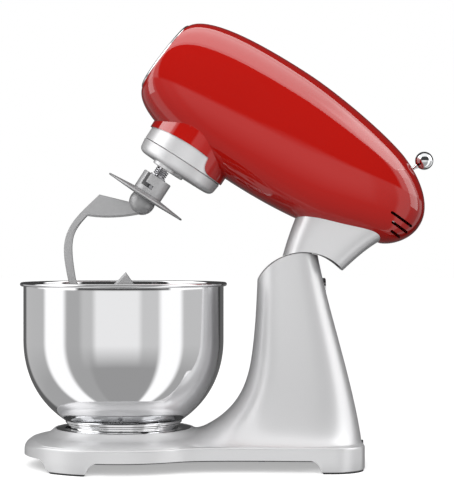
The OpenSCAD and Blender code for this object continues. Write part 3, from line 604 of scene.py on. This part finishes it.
def makeStand():
    outline = evenly(baseOutline())
    edge = [(3.2, 1.6), (1.4, 1.6), (0.5, 2), (0, 3.4), (0, 14), (0, 18), (0, 19.8), (0, 21.4), (0, 22.8),
            (0, 24), (0, 25.1), (0.12, 26), (0.45, 26.75), (1, 27.25), (1.8, 27.5)]
    topRows, columnRows = 120, 70
    rows = len(edge) + topRows + columnRows
    splitZ, power = stand["splitZ"], stand["squareness"]
    centre = Vector((columnSection(splitZ)[0], 0))

    def ringPoint(direction, z):
        middle, half, side = columnSection(z)
        reach = (abs(direction.x / half) ** power + abs(direction.y / side) ** power) ** (-1 / power)
        return Vector((middle + direction.x * reach, direction.y * reach))

    def place(u, v):
        row = round(v * rows)
        spot, inward = outline(u)
        if row < len(edge):
            inset, z = edge[row]
            point = spot + inward * inset
            return softNose(point.x, point.y, z)
        outer = spot + inward * edge[-1][0]
        outer = Vector(softNose(outer.x, outer.y, edge[-1][1])[:2])
        direction = (outer - centre).normalized()
        row -= len(edge) - 1
        if row > topRows:
            z = splitZ + (stand["topZ"] - splitZ) * (row - topRows) / (columnRows + 1)
            point = ringPoint(direction, z)
            return point.x, point.y, z
        # rows run in to the bowl seat's edge on the round front, and to the column elsewhere
        inner = ringPoint(direction, splitZ)
        turn = math.degrees(math.atan2(abs(outer.y), outer.x))
        front = min(max((turn - 34) / 24, 0), 1)
        front = front * front * (3 - 2 * front)
        seatEdge = outer * (stand["domeTop"] / 107.9)
        between = seatEdge.lerp(outer.lerp(inner, 0.5), 1 - front)
        share = row / topRows * 2
        point = outer.lerp(between, share ** 1.25) if share < 1 else between.lerp(inner, share - 1)
        if row == topRows:
            return point.x, point.y, splitZ
        return point.x, point.y, min(topHeight(point.x, point.y), splitZ)

    casting = newObject(wrap(360, rows, place), "standCasting")
    feet = stand["feet"]
    flank = drawn(feet["flank"], 14)

    def archCutter(low, high, start, stop):
        profile = [(low, -4)] + [(low + p.x, p.y) for p in flank]
        profile += [(high - p.x, p.y) for p in reversed(flank)] + [(high, -4)]
        return swept([(x, start, z) for x, z in profile], (0, stop - start, 0))
    carve(casting, [archCutter(feet["front"], feet["back"], -130, 130),
                    moved(archCutter(-feet["frontHalf"], feet["frontHalf"], -130, 60), turned(-90, "Z")),
                    moved(archCutter(-feet["backHalf"], feet["backHalf"], 60, 280), turned(-90, "Z"))])
    # arched top: keep what lies inside the arch's circle above the hinge
    arc = stand["archRadius"]
    ring = spun([(arc, -70), (arc + 70, -70), (arc + 70, 70), (arc, 70)], 256, closed=True)
    moved(ring, Matrix.Translation((hingeX, 0, hingeZ)) @ turned(90, "X"))
    trimmed(ring, (0, 0, stand["archLow"]), (0, 0, -1))
    seat = rod(stand["seatRadius"] + 0.2, stand["seatZ"] - 3, stand["seatZ"] + 20, 200)
    well = rod(stand["well"]["radius"], stand["well"]["z"], 60, 128)
    holes = [moved(rod(hole["radius"], 0, depth), Matrix.Translation((hole["x"], 0, hole["z"]))
                   @ turned(90, "Y")) for hole, depth in ((stand["button"], 40), (stand["cord"], 30))]
    carve(casting, [ring, seat, well, *holes])
    finishPiece(casting, level, "stand", "stand_casting", sharp=24)


makeStand()


# head

head = {
    "top": [[(-77.1, 364), (-68, 382), (-16, 391.4), (64, 391.3)],
            [(64, 391.3), (105, 391.2), (170, 382.5), (200, 372.9)],
            [(200, 372.9), (222, 365.5), (256, 347), (257, 318.5)]],
    "bottom": [[(-77.1, 280), (-74, 262), (-40, 248), (24, 246)],
               [(24, 246), (66, 244.6), (110, 246), (150, 253)],
               [(150, 253), (180, 260), (205, 271), (232, 279)],
               [(232, 279), (244, 284.5), (257, 300), (257, 317.5)]],
    "side": [[(-77.1, 46), (-62, 55), (-10, 62), (90, 62)],
             [(90, 62), (180, 62), (256.5, 58), (257, 1)]],
    "squareness": 2.5, "noseX": -77.1, "tailX": 256.8, "lean": 4.6, "plateHalfHeight": 42.4,
    "plateHalfWidth": 46, "plateZ": 322, "wall": 3, "capX": 253.8, "capGap": 0.4,
    "vents": [(311, 219.4, 248.7), (302.8, 226, 248.5), (294.5, 230.6, 244.7)], "ventHeight": 3,
}
headTop = follow(head["top"], 0)
headBottom = follow(head["bottom"], 0)
headSide = follow(head["side"], 0)
atNose = (tipped @ Matrix.Translation((head["noseX"], 0, head["plateZ"]))
          @ turned(head["lean"] - 90, "Y"))


def headWrap(inset, around, along, nose=0, tail=0):
    start, stop = head["noseX"] + nose, head["tailX"] - tail

    def place(u, v):
        x = (start + stop) / 2 - (stop - start) / 2 * math.cos(math.pi * v)
        lean = (math.tan(math.radians(head["lean"])) * head["plateHalfHeight"]
                * max(0, 1 - (x - head["noseX"]) / 60))
        low, high = headBottom(x) + inset, headTop(x) - inset
        up = bend(math.sin(math.tau * u), head["squareness"])
        out = bend(math.cos(math.tau * u), head["squareness"])
        return x + lean * up, (headSide(x) - inset) * out, (low + high) / 2 + (high - low) / 2 * up
    return wrap(around, along, place)


skirt = {"radius": 50, "inner": 48.3, "lowZ": 237, "edgeZ": 249, "topZ": 274, "sideRise": 5, "lobe": 41,
         "end": 60}


def skirtEdge(degrees):
    # lower edge of the skirt: low behind the collar, with rounded ends, and up at the sides
    side = math.sin(math.radians(degrees)) ** 2 * skirt["sideRise"]
    past = (abs(degrees) - skirt["lobe"]) / (skirt["end"] - skirt["lobe"])
    drop = 1 if past <= 0 else max(0, 1 - past ** 2.6) ** (1 / 2.6) if past < 1 else 0
    return (skirt["edgeZ"] + side) * (1 - drop) + skirt["lowZ"] * drop


def makeSkirt():
    def place(u, v):
        angle = math.tau * (u - 0.5)
        low = skirtEdge(math.degrees(angle))
        return (skirt["radius"] * math.cos(angle), skirt["radius"] * math.sin(angle),
                low + (skirt["topZ"] - low) * v)
    bm = wrap(256, 8, place, closed=False)
    bmesh.ops.recalc_face_normals(bm, faces=bm.faces)
    bmesh.ops.solidify(bm, geom=bm.faces[:], thickness=skirt["radius"] - skirt["inner"])
    bmesh.ops.recalc_face_normals(bm, faces=bm.faces)
    return bm


def ventCutters():
    half = head["ventHeight"] / 2
    return [block((x0, -90, z - half), (x1, 90, z + half), half * 0.98, 1, 8)
            for z, x0, x1 in head["vents"]]


lever = {"foot": (217, 366.5), "ball": (222.8, 381.3), "depth": 34, "radius": 1.7, "ballRadius": 10,
         "sweep": 22}
leverWay = Vector(lever["ball"]) - Vector(lever["foot"])
leverLean = math.degrees(math.atan2(leverWay.x, leverWay.y))
leverFrame = (Matrix.Translation((lever["foot"][0], 0, lever["foot"][1])) @ turned(leverLean, "Y")
              @ Matrix.Translation((0, 0, -lever["depth"])))


def makeHead():
    shell = newObject(headWrap(0, 192, 200), "headHousing")
    carve(shell, [makeSkirt()], "UNION")
    slotHalf = lever["depth"] * math.tan(math.radians(lever["sweep"] + 3)) + 2.5
    leverSlot = moved(block((-2.5, -slotHalf, 17), (2.5, slotHalf, 57), 2.45, 2), leverFrame)
    cavity = headWrap(head["wall"], 96, 90, -2, head["wall"])
    tail = block((head["capX"], -70, 270), (280, 70, 370))
    throat = block((148, -30, 240), (206, 30, 290), 10, 2)
    carve(shell, [cavity, rod(45.4, 200, 300, 128), rod(skirt["inner"] - 0.02, 200, 256, 128),
                  tail, throat, leverSlot] + ventCutters())
    finishPiece(shell, tipped, "head", "head_housing", sharp=32)

    cap = trimmed(headWrap(0, 160, 200), (head["capX"] + head["capGap"], 0, 0), (-1, 0, 0))
    finishPiece(newObject(cap, "rearCap"), tipped, "head", "rear_cap")


makeHead()

hub = {"holeRadius": 27, "lidRadius": 26.6, "hingeX": 29, "hingeZ": 2.4, "plateSpare": 0.6,
       "rim": [(1.6, 0), (0.7, 0), (0.6, 0.4), (1, 1.1), (2, 1.75), (3.4, 2.2), (5.2, 2.4)]}


def makeNose():
    # front plate: rounded-square plate with a softened rim and the hub's round hole
    def rim(u, v):
        inset, z = hub["rim"][round(v * 6)]
        inset -= hub["plateSpare"]
        angle = math.tau * u
        return ((head["plateHalfHeight"] - inset) * bend(math.cos(angle), head["squareness"]),
                (head["plateHalfWidth"] - inset) * bend(math.sin(angle), head["squareness"]), z)
    plate = newObject(wrap(192, 6, rim), "frontPlate")
    notch = block((hub["holeRadius"] - 4, -9, -1), (hub["holeRadius"] + 5, 9, 5), 1.5, 2)
    carve(plate, [rod(hub["holeRadius"], -2, 6, 160), notch])
    groove = spun([(31.2, 2.1), (31.8, 1.9), (32.4, 2.1), (32.4, 4), (31.2, 4)], 160, closed=True)
    carve(plate, [groove])
    finishPiece(plate, atNose, "head", "front_plate")

    radius = hub["lidRadius"]
    disc = spun([(0, 1.7), (15, 1.75), (19.5, 2.1), (21.5, 2.55), (radius - 0.7, 2.6), (radius, 2.1),
                 (radius, 0.5), (radius - 0.3, 0.2), (0, 0.2)], 160)
    knuckle = moved(rod(1.6, -6, 6, 32),
                    Matrix.Translation((hub["hingeX"], 0, hub["hingeZ"])) @ turned(90, "X"))
    link = block((hub["holeRadius"] - 6, -6, 0.8), (hub["hingeX"], 6, 4), 0.6)
    pull = moved(block((-2.2, -7, 0), (2.2, 7, 3), 1.2), Matrix.Translation((-21, 0, 1.2)))
    finishPiece(newObject(joined(disc, knuckle, link, pull), "hubCover"), atNose, "hub_lid", "hub_cover")


makeNose()

collar = spun([(42, 235.8), (47.4, 235.8), (48, 236.4), (48, 256), (45.6, 256), (45.6, 249), (42, 249)],
              192, closed=True)
finishPiece(newObject(collar, "collarRing"), tipped, "head", "collar_ring")


# neck

neck = {
    "front": [(154, 196), (147.5, 212), (140, 240), (136.6, 262)],
    "back": [(203, 205), (214.5, 222), (214, 258), (236, 292)],
    "halfWidth": 37.5, "spread": 1.5, "squareness": 3.4, "gap": 1, "wall": 4,
}


def neckWrap(wall, around, along):
    def place(u, v):
        a, b = cubic(neck["front"], v), cubic(neck["back"], v)
        inward = (b - a).normalized() * wall
        a, b = a + inward, b - inward
        middle = (a + b) / 2 + (b - a) / 2 * bend(math.cos(math.tau * u), neck["squareness"])
        width = neck["halfWidth"] - wall + neck["spread"] * v
        return middle.x, width * bend(math.sin(math.tau * u), neck["squareness"]), middle.y
    return wrap(around, along, place)


def makeNeck():
    casting = newObject(neckWrap(0, 160, 60), "neckCasting")
    arch = moved(rod(stand["archRadius"] + neck["gap"], -60, 60, 256),
                 Matrix.Translation((hingeX, 0, hingeZ)) @ turned(90, "X"))
    carve(casting, [neckWrap(neck["wall"], 96, 40), arch])
    finishPiece(casting, tipped, "head", "neck_casting")


makeNeck()


# planetary dish, beater shaft parts and dough hook

drive = {"offset": 27.5, "azimuth": 245.8}
shaftSpot = Vector((drive["offset"] * math.cos(math.radians(drive["azimuth"])),
                    drive["offset"] * math.sin(math.radians(drive["azimuth"])), 0))
atShaft = tipped @ Matrix.Translation(shaftSpot)


def makeDish():
    outer = drawn([[(38, 220.5), (44, 220.5), (47, 223), (47.4, 228)]], 14)
    inner = drawn([[(44.6, 228), (44.2, 225.4), (42, 223.6), (38, 223.5)]], 12)
    profile = [(0, 220.5), (20, 220.5), *outer, (48.2, 234.3), (48.4, 235), (48.1, 235.3), (45.4, 235.3),
               *inner, (0, 223.5)]
    dish = newObject(spun([tuple(point) for point in profile], 192), "planetCarrier")
    boss = spun([(13.4, 217.6), (13.6, 218.2), (13.6, 236), (6.6, 236), (6.6, 217), (12.6, 217),
                 (13.2, 217.2)], 96, closed=True)
    web = wrap(96, 3, webPoint)
    bore = moved(rod(6.6, 200, 260), Matrix.Translation(shaftSpot))
    carve(dish, [web], "UNION")
    carve(dish, [rod(7, 222.6, 260), bore])
    bm = bmesh.new()
    bm.from_mesh(dish.data)
    whole = joined(bm, moved(boss, Matrix.Translation(shaftSpot)), rod(12, 222.5, 236))
    whole.to_mesh(dish.data)
    whole.free()
    finishPiece(dish, tipped, "carrier", "planet_carrier")


def webPoint(u, v):
    # raised web between the dish's middle and the shaft's boss
    radius, z = [(13, 221.5), (13, 218), (12.2, 217.4), (0.01, 217.4)][round(v * 3)]
    angle = math.tau * u
    near = math.cos(angle - math.radians(drive["azimuth"])) > 0
    centre = shaftSpot if near else Vector((-5.5, -13, 0))
    reach = radius if near else radius * 1.3
    return centre.x + reach * math.cos(angle), centre.y + reach * math.sin(angle), z


makeDish()

hook = {
    "outer": [[(-4.5, 169.5), (-17.3, 165.1), (-30.1, 160.6), (-42.9, 156.2)],
              [(-42.9, 156.2), (-47, 138.5), (-51.2, 124), (-50.8, 111)],
              [(-50.8, 111), (-50.3, 90), (-38, 77), (-19.5, 58.6)],
              [(-19.5, 58.6), (-13.5, 52.6), (-1.5, 49.6), (12.5, 53)],
              [(12.5, 53), (30.5, 58), (43.5, 72), (44.5, 93.6)]],
    "inner": [[(5.5, 162.3), (-10.5, 146), (-29.5, 134.5), (-41.5, 129.3)],
              [(-41.5, 129.3), (-43.5, 120), (-43.7, 113), (-43.2, 108.5)],
              [(-43.2, 108.5), (-41.8, 95.5), (-31, 82.5), (-15.3, 65.6)],
              [(-15.3, 65.6), (-10, 60), (-1, 57.6), (8.5, 60)],
              [(8.5, 60), (19, 63), (22.5, 78), (26.6, 100.7)]],
    "half": 5, "lip": 1.2, "outerBevel": 0.9, "innerBevel": 2.2,
    "bulbZ": 174.5, "bulbRadius": 14.2, "shieldZ": 182.1, "shieldRimZ": 181.2, "shieldRadius": 46.7,
    "shieldThick": 6.4, "rimHalf": 1.1, "hubRadius": 16.7, "hubTop": 206, "boreRadius": 4.65,
    "slotZ": 193, "slotHalf": 2.2, "legHalf": 2.15, "lock": 35,
}


def armSection(outer, inner):
    # eight corners of the flat arm between its two edges, with bevelled corners
    half, lip = hook["half"], hook["lip"]
    way = (inner - outer).normalized()
    a, b = outer + way * hook["outerBevel"], inner - way * hook["innerBevel"]
    corners = [(a, -half), (outer, lip - half), (outer, half - lip), (a, half),
               (b, half), (inner, half - lip), (inner, lip - half), (b, -half)]
    return [(point.x, y, point.y) for point, y in corners]


def makeHook():
    arm = bmesh.new()
    rings = []
    for outer, inner in zip(hook["outer"], hook["inner"]):
        for step in range(1 if rings else 0, 25):
            section = armSection(cubic(outer, step / 24), cubic(inner, step / 24))
            rings.append([arm.verts.new(corner) for corner in section])
    loops = [[arm.edges.new((ring[i - 1], ring[i])) for i in range(8)] for ring in rings]
    for first, second in zip(loops, loops[1:]):
        bmesh.ops.bridge_loops(arm, edges=first + second)
    bmesh.ops.holes_fill(arm, edges=loops[0] + loops[-1], sides=0)
    bmesh.ops.recalc_face_normals(arm, faces=arm.faces)
    bulb = bmesh.new()
    bmesh.ops.create_uvsphere(bulb, u_segments=96, v_segments=64, radius=hook["bulbRadius"],
                              matrix=Matrix.Translation((0, 0, hook["bulbZ"])))
    trimmed(bulb, (0, 0, hook["shieldZ"] - hook["shieldThick"] / 2), (0, 0, 1))
    piece = newObject(bulb, "hookArm")
    carve(piece, [arm], "UNION")
    finishPiece(piece, atShaft, "hook", "hook_arm", sharp=24)

    z, radius, half = hook["shieldZ"], hook["shieldRadius"], hook["shieldThick"] / 2
    rim, edge = hook["shieldRimZ"], hook["rimHalf"]
    shield = spun([(0, z - half), (hook["bulbRadius"], z - half), (radius - 1.2, rim - edge),
                   (radius - 0.4, rim - edge * 0.75), (radius, rim - edge * 0.2),
                   (radius, rim + edge * 0.2), (radius - 0.4, rim + edge * 0.75),
                   (radius - 1.2, rim + edge), (hook["hubRadius"], z + half), (0, z + half)], 192)
    finishPiece(newObject(shield, "hookShield"), atShaft, "hook", "hook_shield", sharp=30)

    radius, top = hook["hubRadius"], hook["hubTop"]
    low = z + half
    body = newObject(spun([(0, low), (radius - 0.4, low), (radius, low + 0.4), (radius, top - 1),
                           (radius - 0.3, top - 0.3), (radius - 1, top), (0, top)], 128), "hookHub")
    # the bayonet: a level run in which the hook locks, and a leg that is open at the top
    slotHalf, legHalf, reach = hook["slotHalf"], hook["legHalf"], radius + 3
    unlocked = turned(-hook["lock"], "Z")
    run = [Vector((-slotHalf, 0, 0)), Vector((-slotHalf, reach, 0)),
           turned(-hook["lock"] / 2, "Z") @ Vector((0, reach + 2, 0)),
           unlocked @ Vector((slotHalf, reach, 0)), unlocked @ Vector((slotHalf, 0, 0))]
    cuts = [rod(hook["boreRadius"], 186, 230)]
    for flip in (0, 180):
        cuts.append(moved(swept(run, (0, 0, 2 * slotHalf)),
                          turned(flip, "Z") @ Matrix.Translation((0, 0, hook["slotZ"] - slotHalf))))
        leg = block((-legHalf, 0, hook["slotZ"]), (legHalf, radius + 4, top + 4))
        cuts.append(moved(leg, turned(flip - hook["lock"], "Z")))
    carve(body, cuts)
    finishPiece(body, atShaft, "hook", "hook_hub")


makeHook()


def makeSpring():
    spring = {"radius": 6.7, "wire": 0.9, "turns": 3.5, "low": 208.2, "high": 216.05}

    def place(u, v):
        turn, twist = math.tau * spring["turns"] * v, math.tau * u
        reach = spring["radius"] + spring["wire"] * math.cos(twist)
        z = spring["low"] + (spring["high"] - spring["low"]) * v + spring["wire"] * math.sin(twist)
        return reach * math.cos(turn), reach * math.sin(turn), z
    finishPiece(newObject(wrap(14, 220, place), "shaftSpring"), atShaft, "beater", "shaft_spring", sharp=60)
    washer = spun([(4.7, 206.1), (8.7, 206.1), (9, 206.4), (9, 207), (8.7, 207.2), (4.7, 207.2)], 96,
                  closed=True)
    finishPiece(newObject(washer, "springWasher"), atShaft, "beater", "spring_washer")


makeSpring()


# bowl

bowl = {"radius": 109.7, "wall": 0.9, "rimZ": 198.3, "beadRadius": 2.2, "beadAt": 111.2, "floorZ": 49.5}


def makeBowl():
    radius, floorZ = bowl["radius"], bowl["floorZ"]
    inside, innerZ = radius - bowl["wall"], floorZ + bowl["wall"]
    outer = drawn([[(radius, 138), (radius, 95), (89, 66), (64, floorZ)]], 48)
    inner = drawn([[(64, innerZ), (88.1, 66.9), (inside, 95), (inside, 138)]], 48)
    bead = []
    for step in range(25):
        angle = math.radians(-138 + 318 * step / 24)
        bead.append((bowl["beadAt"] + bowl["beadRadius"] * math.cos(angle),
                     bowl["rimZ"] + bowl["beadRadius"] * math.sin(angle)))
    straight = [(radius, 196 - 58 * step / 12) for step in range(12)]
    upward = [(inside, 138 + 58 * step / 12) for step in range(1, 12)]
    profile = ([(0, floorZ), (30, floorZ)] + [tuple(point) for point in reversed(outer)]
               + straight[::-1] + bead + [(inside + 0.1, 197.5)] + upward[::-1]
               + [tuple(point) for point in reversed(inner)] + [(30, innerZ), (0, innerZ)])
    finishPiece(newObject(spun(profile, 256), "bowl"), level, "bowl_body", "bowl", sharp=60)

    foot = spun([(55, 36.6), (59.1, 36.6), (59.5, 37), (59.5, 44.3), (60.2, 44.8), (61.9, 45), (62.1, 45.3),
                 (62.1, 46.5), (62.5, 47), (63.5, 47.2), (63.8, 47.5), (63.8, 49.4), (55, 49.4)], 224,
                closed=True)
    lugs = []
    for angle in (0, 120, 240):
        lug = block((58.5, -11, 36.5), (63.5, 11, 38.9), 0.6, 2)
        lugs.append(moved(lug, turned(angle + 37, "Z")))
    finishPiece(newObject(joined(foot, *lugs), "bowlFoot"), level, "bowl_body", "bowl_foot")

    seat = newObject(spun([(60, 38), (73.9, 38), (73.95, 40.4), (73.6, 40.85), (73, 41), (60.5, 41),
                           (60.1, 40.8), (60, 40.4)], 224, closed=True), "bowlSeat")
    cuts = [rod(63.9, 30, 39.2, 128)]
    for angle in (0, 120, 240):
        notch = spun([(57, 36), (64, 36), (64, 44), (57, 44)], 180, closed=True)
        keep = block((40, -13.2, 30), (80, 13.2, 50))
        piece = newObject(notch, "notch")
        carve(piece, [keep], "INTERSECT")
        bm = bmesh.new()
        bm.from_mesh(piece.data)
        bpy.data.objects.remove(piece)
        cuts.append(moved(bm, turned(angle + 62, "Z")))
    for angle in (30, 150, 270):
        spot = turned(angle, "Z") @ Matrix.Translation((69, 0, 0))
        cuts += [moved(rod(3, 40, 44, 32), spot), moved(rod(1.65, 30, 44, 32), spot)]
    carve(seat, cuts)
    finishPiece(seat, level, "stand", "bowl_seat")


makeBowl()


# speed lever and release button

def makeControls():
    length = lever["depth"] + leverWay.length
    stem = spun([(0, 0), (lever["radius"], 0), (lever["radius"], length - 12.5), (2.3, length - 11.2),
                 (2.6, length - 9.4), (2.6, length - 8.4), (0, length - 8.4)], 48)
    pivot = moved(rod(5, -3.6, 3.6, 48), turned(90, "Y"))
    axle = moved(rod(2, -8.9, 8.9, 32), turned(90, "Y"))
    whole = newObject(joined(stem, pivot, axle), "speedLever")
    finishPiece(whole, tipped @ leverFrame, "lever", "speed_lever")
    ball = bmesh.new()
    bmesh.ops.create_uvsphere(ball, u_segments=96, v_segments=64, radius=lever["ballRadius"])
    place = tipped @ Matrix.Translation((lever["ball"][0], 0, lever["ball"][1])) @ turned(leverLean, "Y")
    finishPiece(newObject(ball, "leverBall"), place, "lever", "lever_ball")

    button = spun([(0, 0), (10.7, 0), (11, 0.4), (11, 2.4), (10.7, 2.8), (9, 2.8), (9, 12.6), (8.6, 13.5),
                   (7.6, 13.9), (6.6, 13.6), (0, 13.1)], 96)
    spot = Matrix.Translation((208, 0, 196)) @ turned(90, "Y")
    finishPiece(newObject(button, "releaseButton"), level @ spot, "button", "release_button")


makeControls()


# studio

studio = {
    "cameraAt": (0.0, -1.839, 0.2357), "lens": 120.4,
    "fill": {"place": (-0.25, -2.1, 1.05), "aim": (0, 0, 0.2), "size": 1.6, "power": 50},
    # boxes that only the red paint mirrors: place, what they face, width, height and power
    "boxes": [((0, -0.2, 1.6), (0, -0.2, 0), 5, 1.7, 92),
              ((-1.7, -0.15, 0.55), (0, -0.15, 0.4), 0.75, 1.3, 9),
              ((1.7, -0.1, 0.5), (0.1, -0.1, 0.4), 0.75, 1.3, 9)],
    # brightness of the walls round the mixer: start in degrees from the camera's side, then shade
    "walls": [(-180, 0.1), (-145, 0.45), (-98, 1.0), (-67, 0.38), (-46, 0.5), (-30, 0.8), (22, 0.55),
              (45, 1.0), (73, 0.5), (110, 0.9), (127, 0.03), (149, 0.1)],
    "lowWalls": [(-180, 0.1), (-145, 0.35), (-98, 1.0), (-67, 0.35), (-37, 0.3), (24, 0.3), (45, 1.0),
                 (73, 0.35), (110, 0.7), (127, 0.03), (149, 0.1)],
    "highWalls": [(-180, 0), (-112, 1), (-52, 0), (58, 1), (112, 0)],
    "wallSoftness": 3, "wallTop": 0.035, "wallStrength": 1.25, "sideBoxes": 1.8, "sideTop": 0.8,
    "ceiling": 0.06, "softbox": 1, "above": 0.48, "zenith": 0.34, "below": 0.3,
}


def makeCamera():
    camera = bpy.data.objects.new("camera", bpy.data.cameras.new("camera"))
    camera.data.lens = studio["lens"]
    camera.data.sensor_width = 36
    camera.data.sensor_fit = "AUTO"
    camera.data.clip_end = 50
    camera.location = studio["cameraAt"]
    camera.rotation_euler = (math.radians(90), 0, 0)
    bpy.context.scene.collection.objects.link(camera)
    bpy.context.scene.camera = camera


def wallStops(walls):
    stops = []
    starts = [start for start, shade in walls] + [180]
    for (start, shade), stop in zip(walls, starts[1:]):
        stops.append(((start + studio["wallSoftness"]) / 360 + 0.5, shade))
        stops.append(((stop - studio["wallSoftness"]) / 360 + 0.5, shade))
    return stops


def areaLight(name, place, aim, width, depth, power):
    lamp = bpy.data.lights.new(name, "AREA")
    lamp.shape = "RECTANGLE"
    lamp.size = width
    lamp.size_y = depth
    lamp.energy = power
    light = bpy.data.objects.new(name, lamp)
    light.location = place
    light.rotation_euler = (Vector(aim) - Vector(place)).to_track_quat("-Z", "Y").to_euler()
    bpy.context.scene.collection.objects.link(light)
    return light


def makeLight():
    world = bpy.data.worlds.new("studio")
    world.use_nodes = True
    bpy.context.scene.world = world
    tree = world.node_tree
    light = Wire(tree)
    way = light.node("ShaderNodeTexCoord", output=0)
    x, y, z = (light.node("ShaderNodeSeparateXYZ", {}, {"Vector": way}, output=axis) for axis in range(3))
    turn = light.maths("ARCTAN2", x, 0 - y) * (1 / math.tau) + 0.5
    walls, lowWalls, highWalls = (
        light.node("ShaderNodeValToRGB", {"stops": wallStops(studio[name])}, {"Fac": turn})
        for name in ("walls", "lowWalls", "highWalls"))

    def clamped(value):
        return light.node("ShaderNodeMath", {"operation": "ADD", "use_clamp": True}, {0: value, 1: 0})

    def side(value):
        # one on the side where the value is positive, with a narrow soft edge
        return clamped(value * 20)
    softbox = side(y + z * 0.75) * side(z * 0.3 - y) * side(z * 2.6 - light.maths("ABSOLUTE", x))
    sideBoxes = highWalls * side(studio["sideTop"] - z) * studio["sideBoxes"]
    ceiling = softbox * studio["softbox"] + sideBoxes + studio["ceiling"]
    strength = studio["wallStrength"]
    around = mix(light, clamped(z * -2.6 - 0.2), walls * strength, lowWalls * strength)
    glossy = mix(light, side(z - studio["wallTop"]), around, ceiling)
    dull = mix(light, side(z), (studio["below"],) * 3, z * studio["zenith"] + studio["above"])
    lit = mix(light, light.node("ShaderNodeLightPath", output=3), dull, glossy)
    seen = mix(light, light.node("ShaderNodeLightPath", output=0), lit, (1, 1, 1))
    tree.links.new(seen.socket, tree.nodes["Background"].inputs["Color"])

    spot = studio["fill"]
    fill = areaLight("frontFill", spot["place"], spot["aim"], spot["size"], spot["size"], spot["power"])
    fill.visible_glossy = False
    painted = bpy.data.collections.new("painted")
    for thing in bpy.data.objects:
        if thing.type == "MESH" and finishes["red_paint"] in thing.data.materials[:]:
            painted.objects.link(thing)
    for place, aim, width, height, power in studio["boxes"]:
        box = areaLight("box", place, aim, width, height, power)
        box.visible_diffuse = False
        box.light_linking.receiver_collection = painted
    bpy.context.scene.view_settings.view_transform = "Standard"
    bpy.context.scene.view_settings.look = "None"


def makeFloor():
    floor = bmesh.new()
    bmesh.ops.create_grid(floor, x_segments=8, y_segments=8, size=12)
    ground = newObject(floor, "floor")
    material = newFinish("paleFloor", (0.93, 0.93, 0.93), 0, 0.8, Specular_IOR_Level=0,
                         Emission_Color=(1, 1, 1, 1), Emission_Strength=0.38)[0]
    ground.data.materials.append(material)
    ground.visible_diffuse = False
    ground.visible_glossy = False
    ground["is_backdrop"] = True


makeCamera()
makeLight()
makeFloor()
print("studio ready")

for label, box in (("cad", cadBounds), ("visual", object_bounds())):
    print(label, [round(value, 4) for corner in box for value in corner])
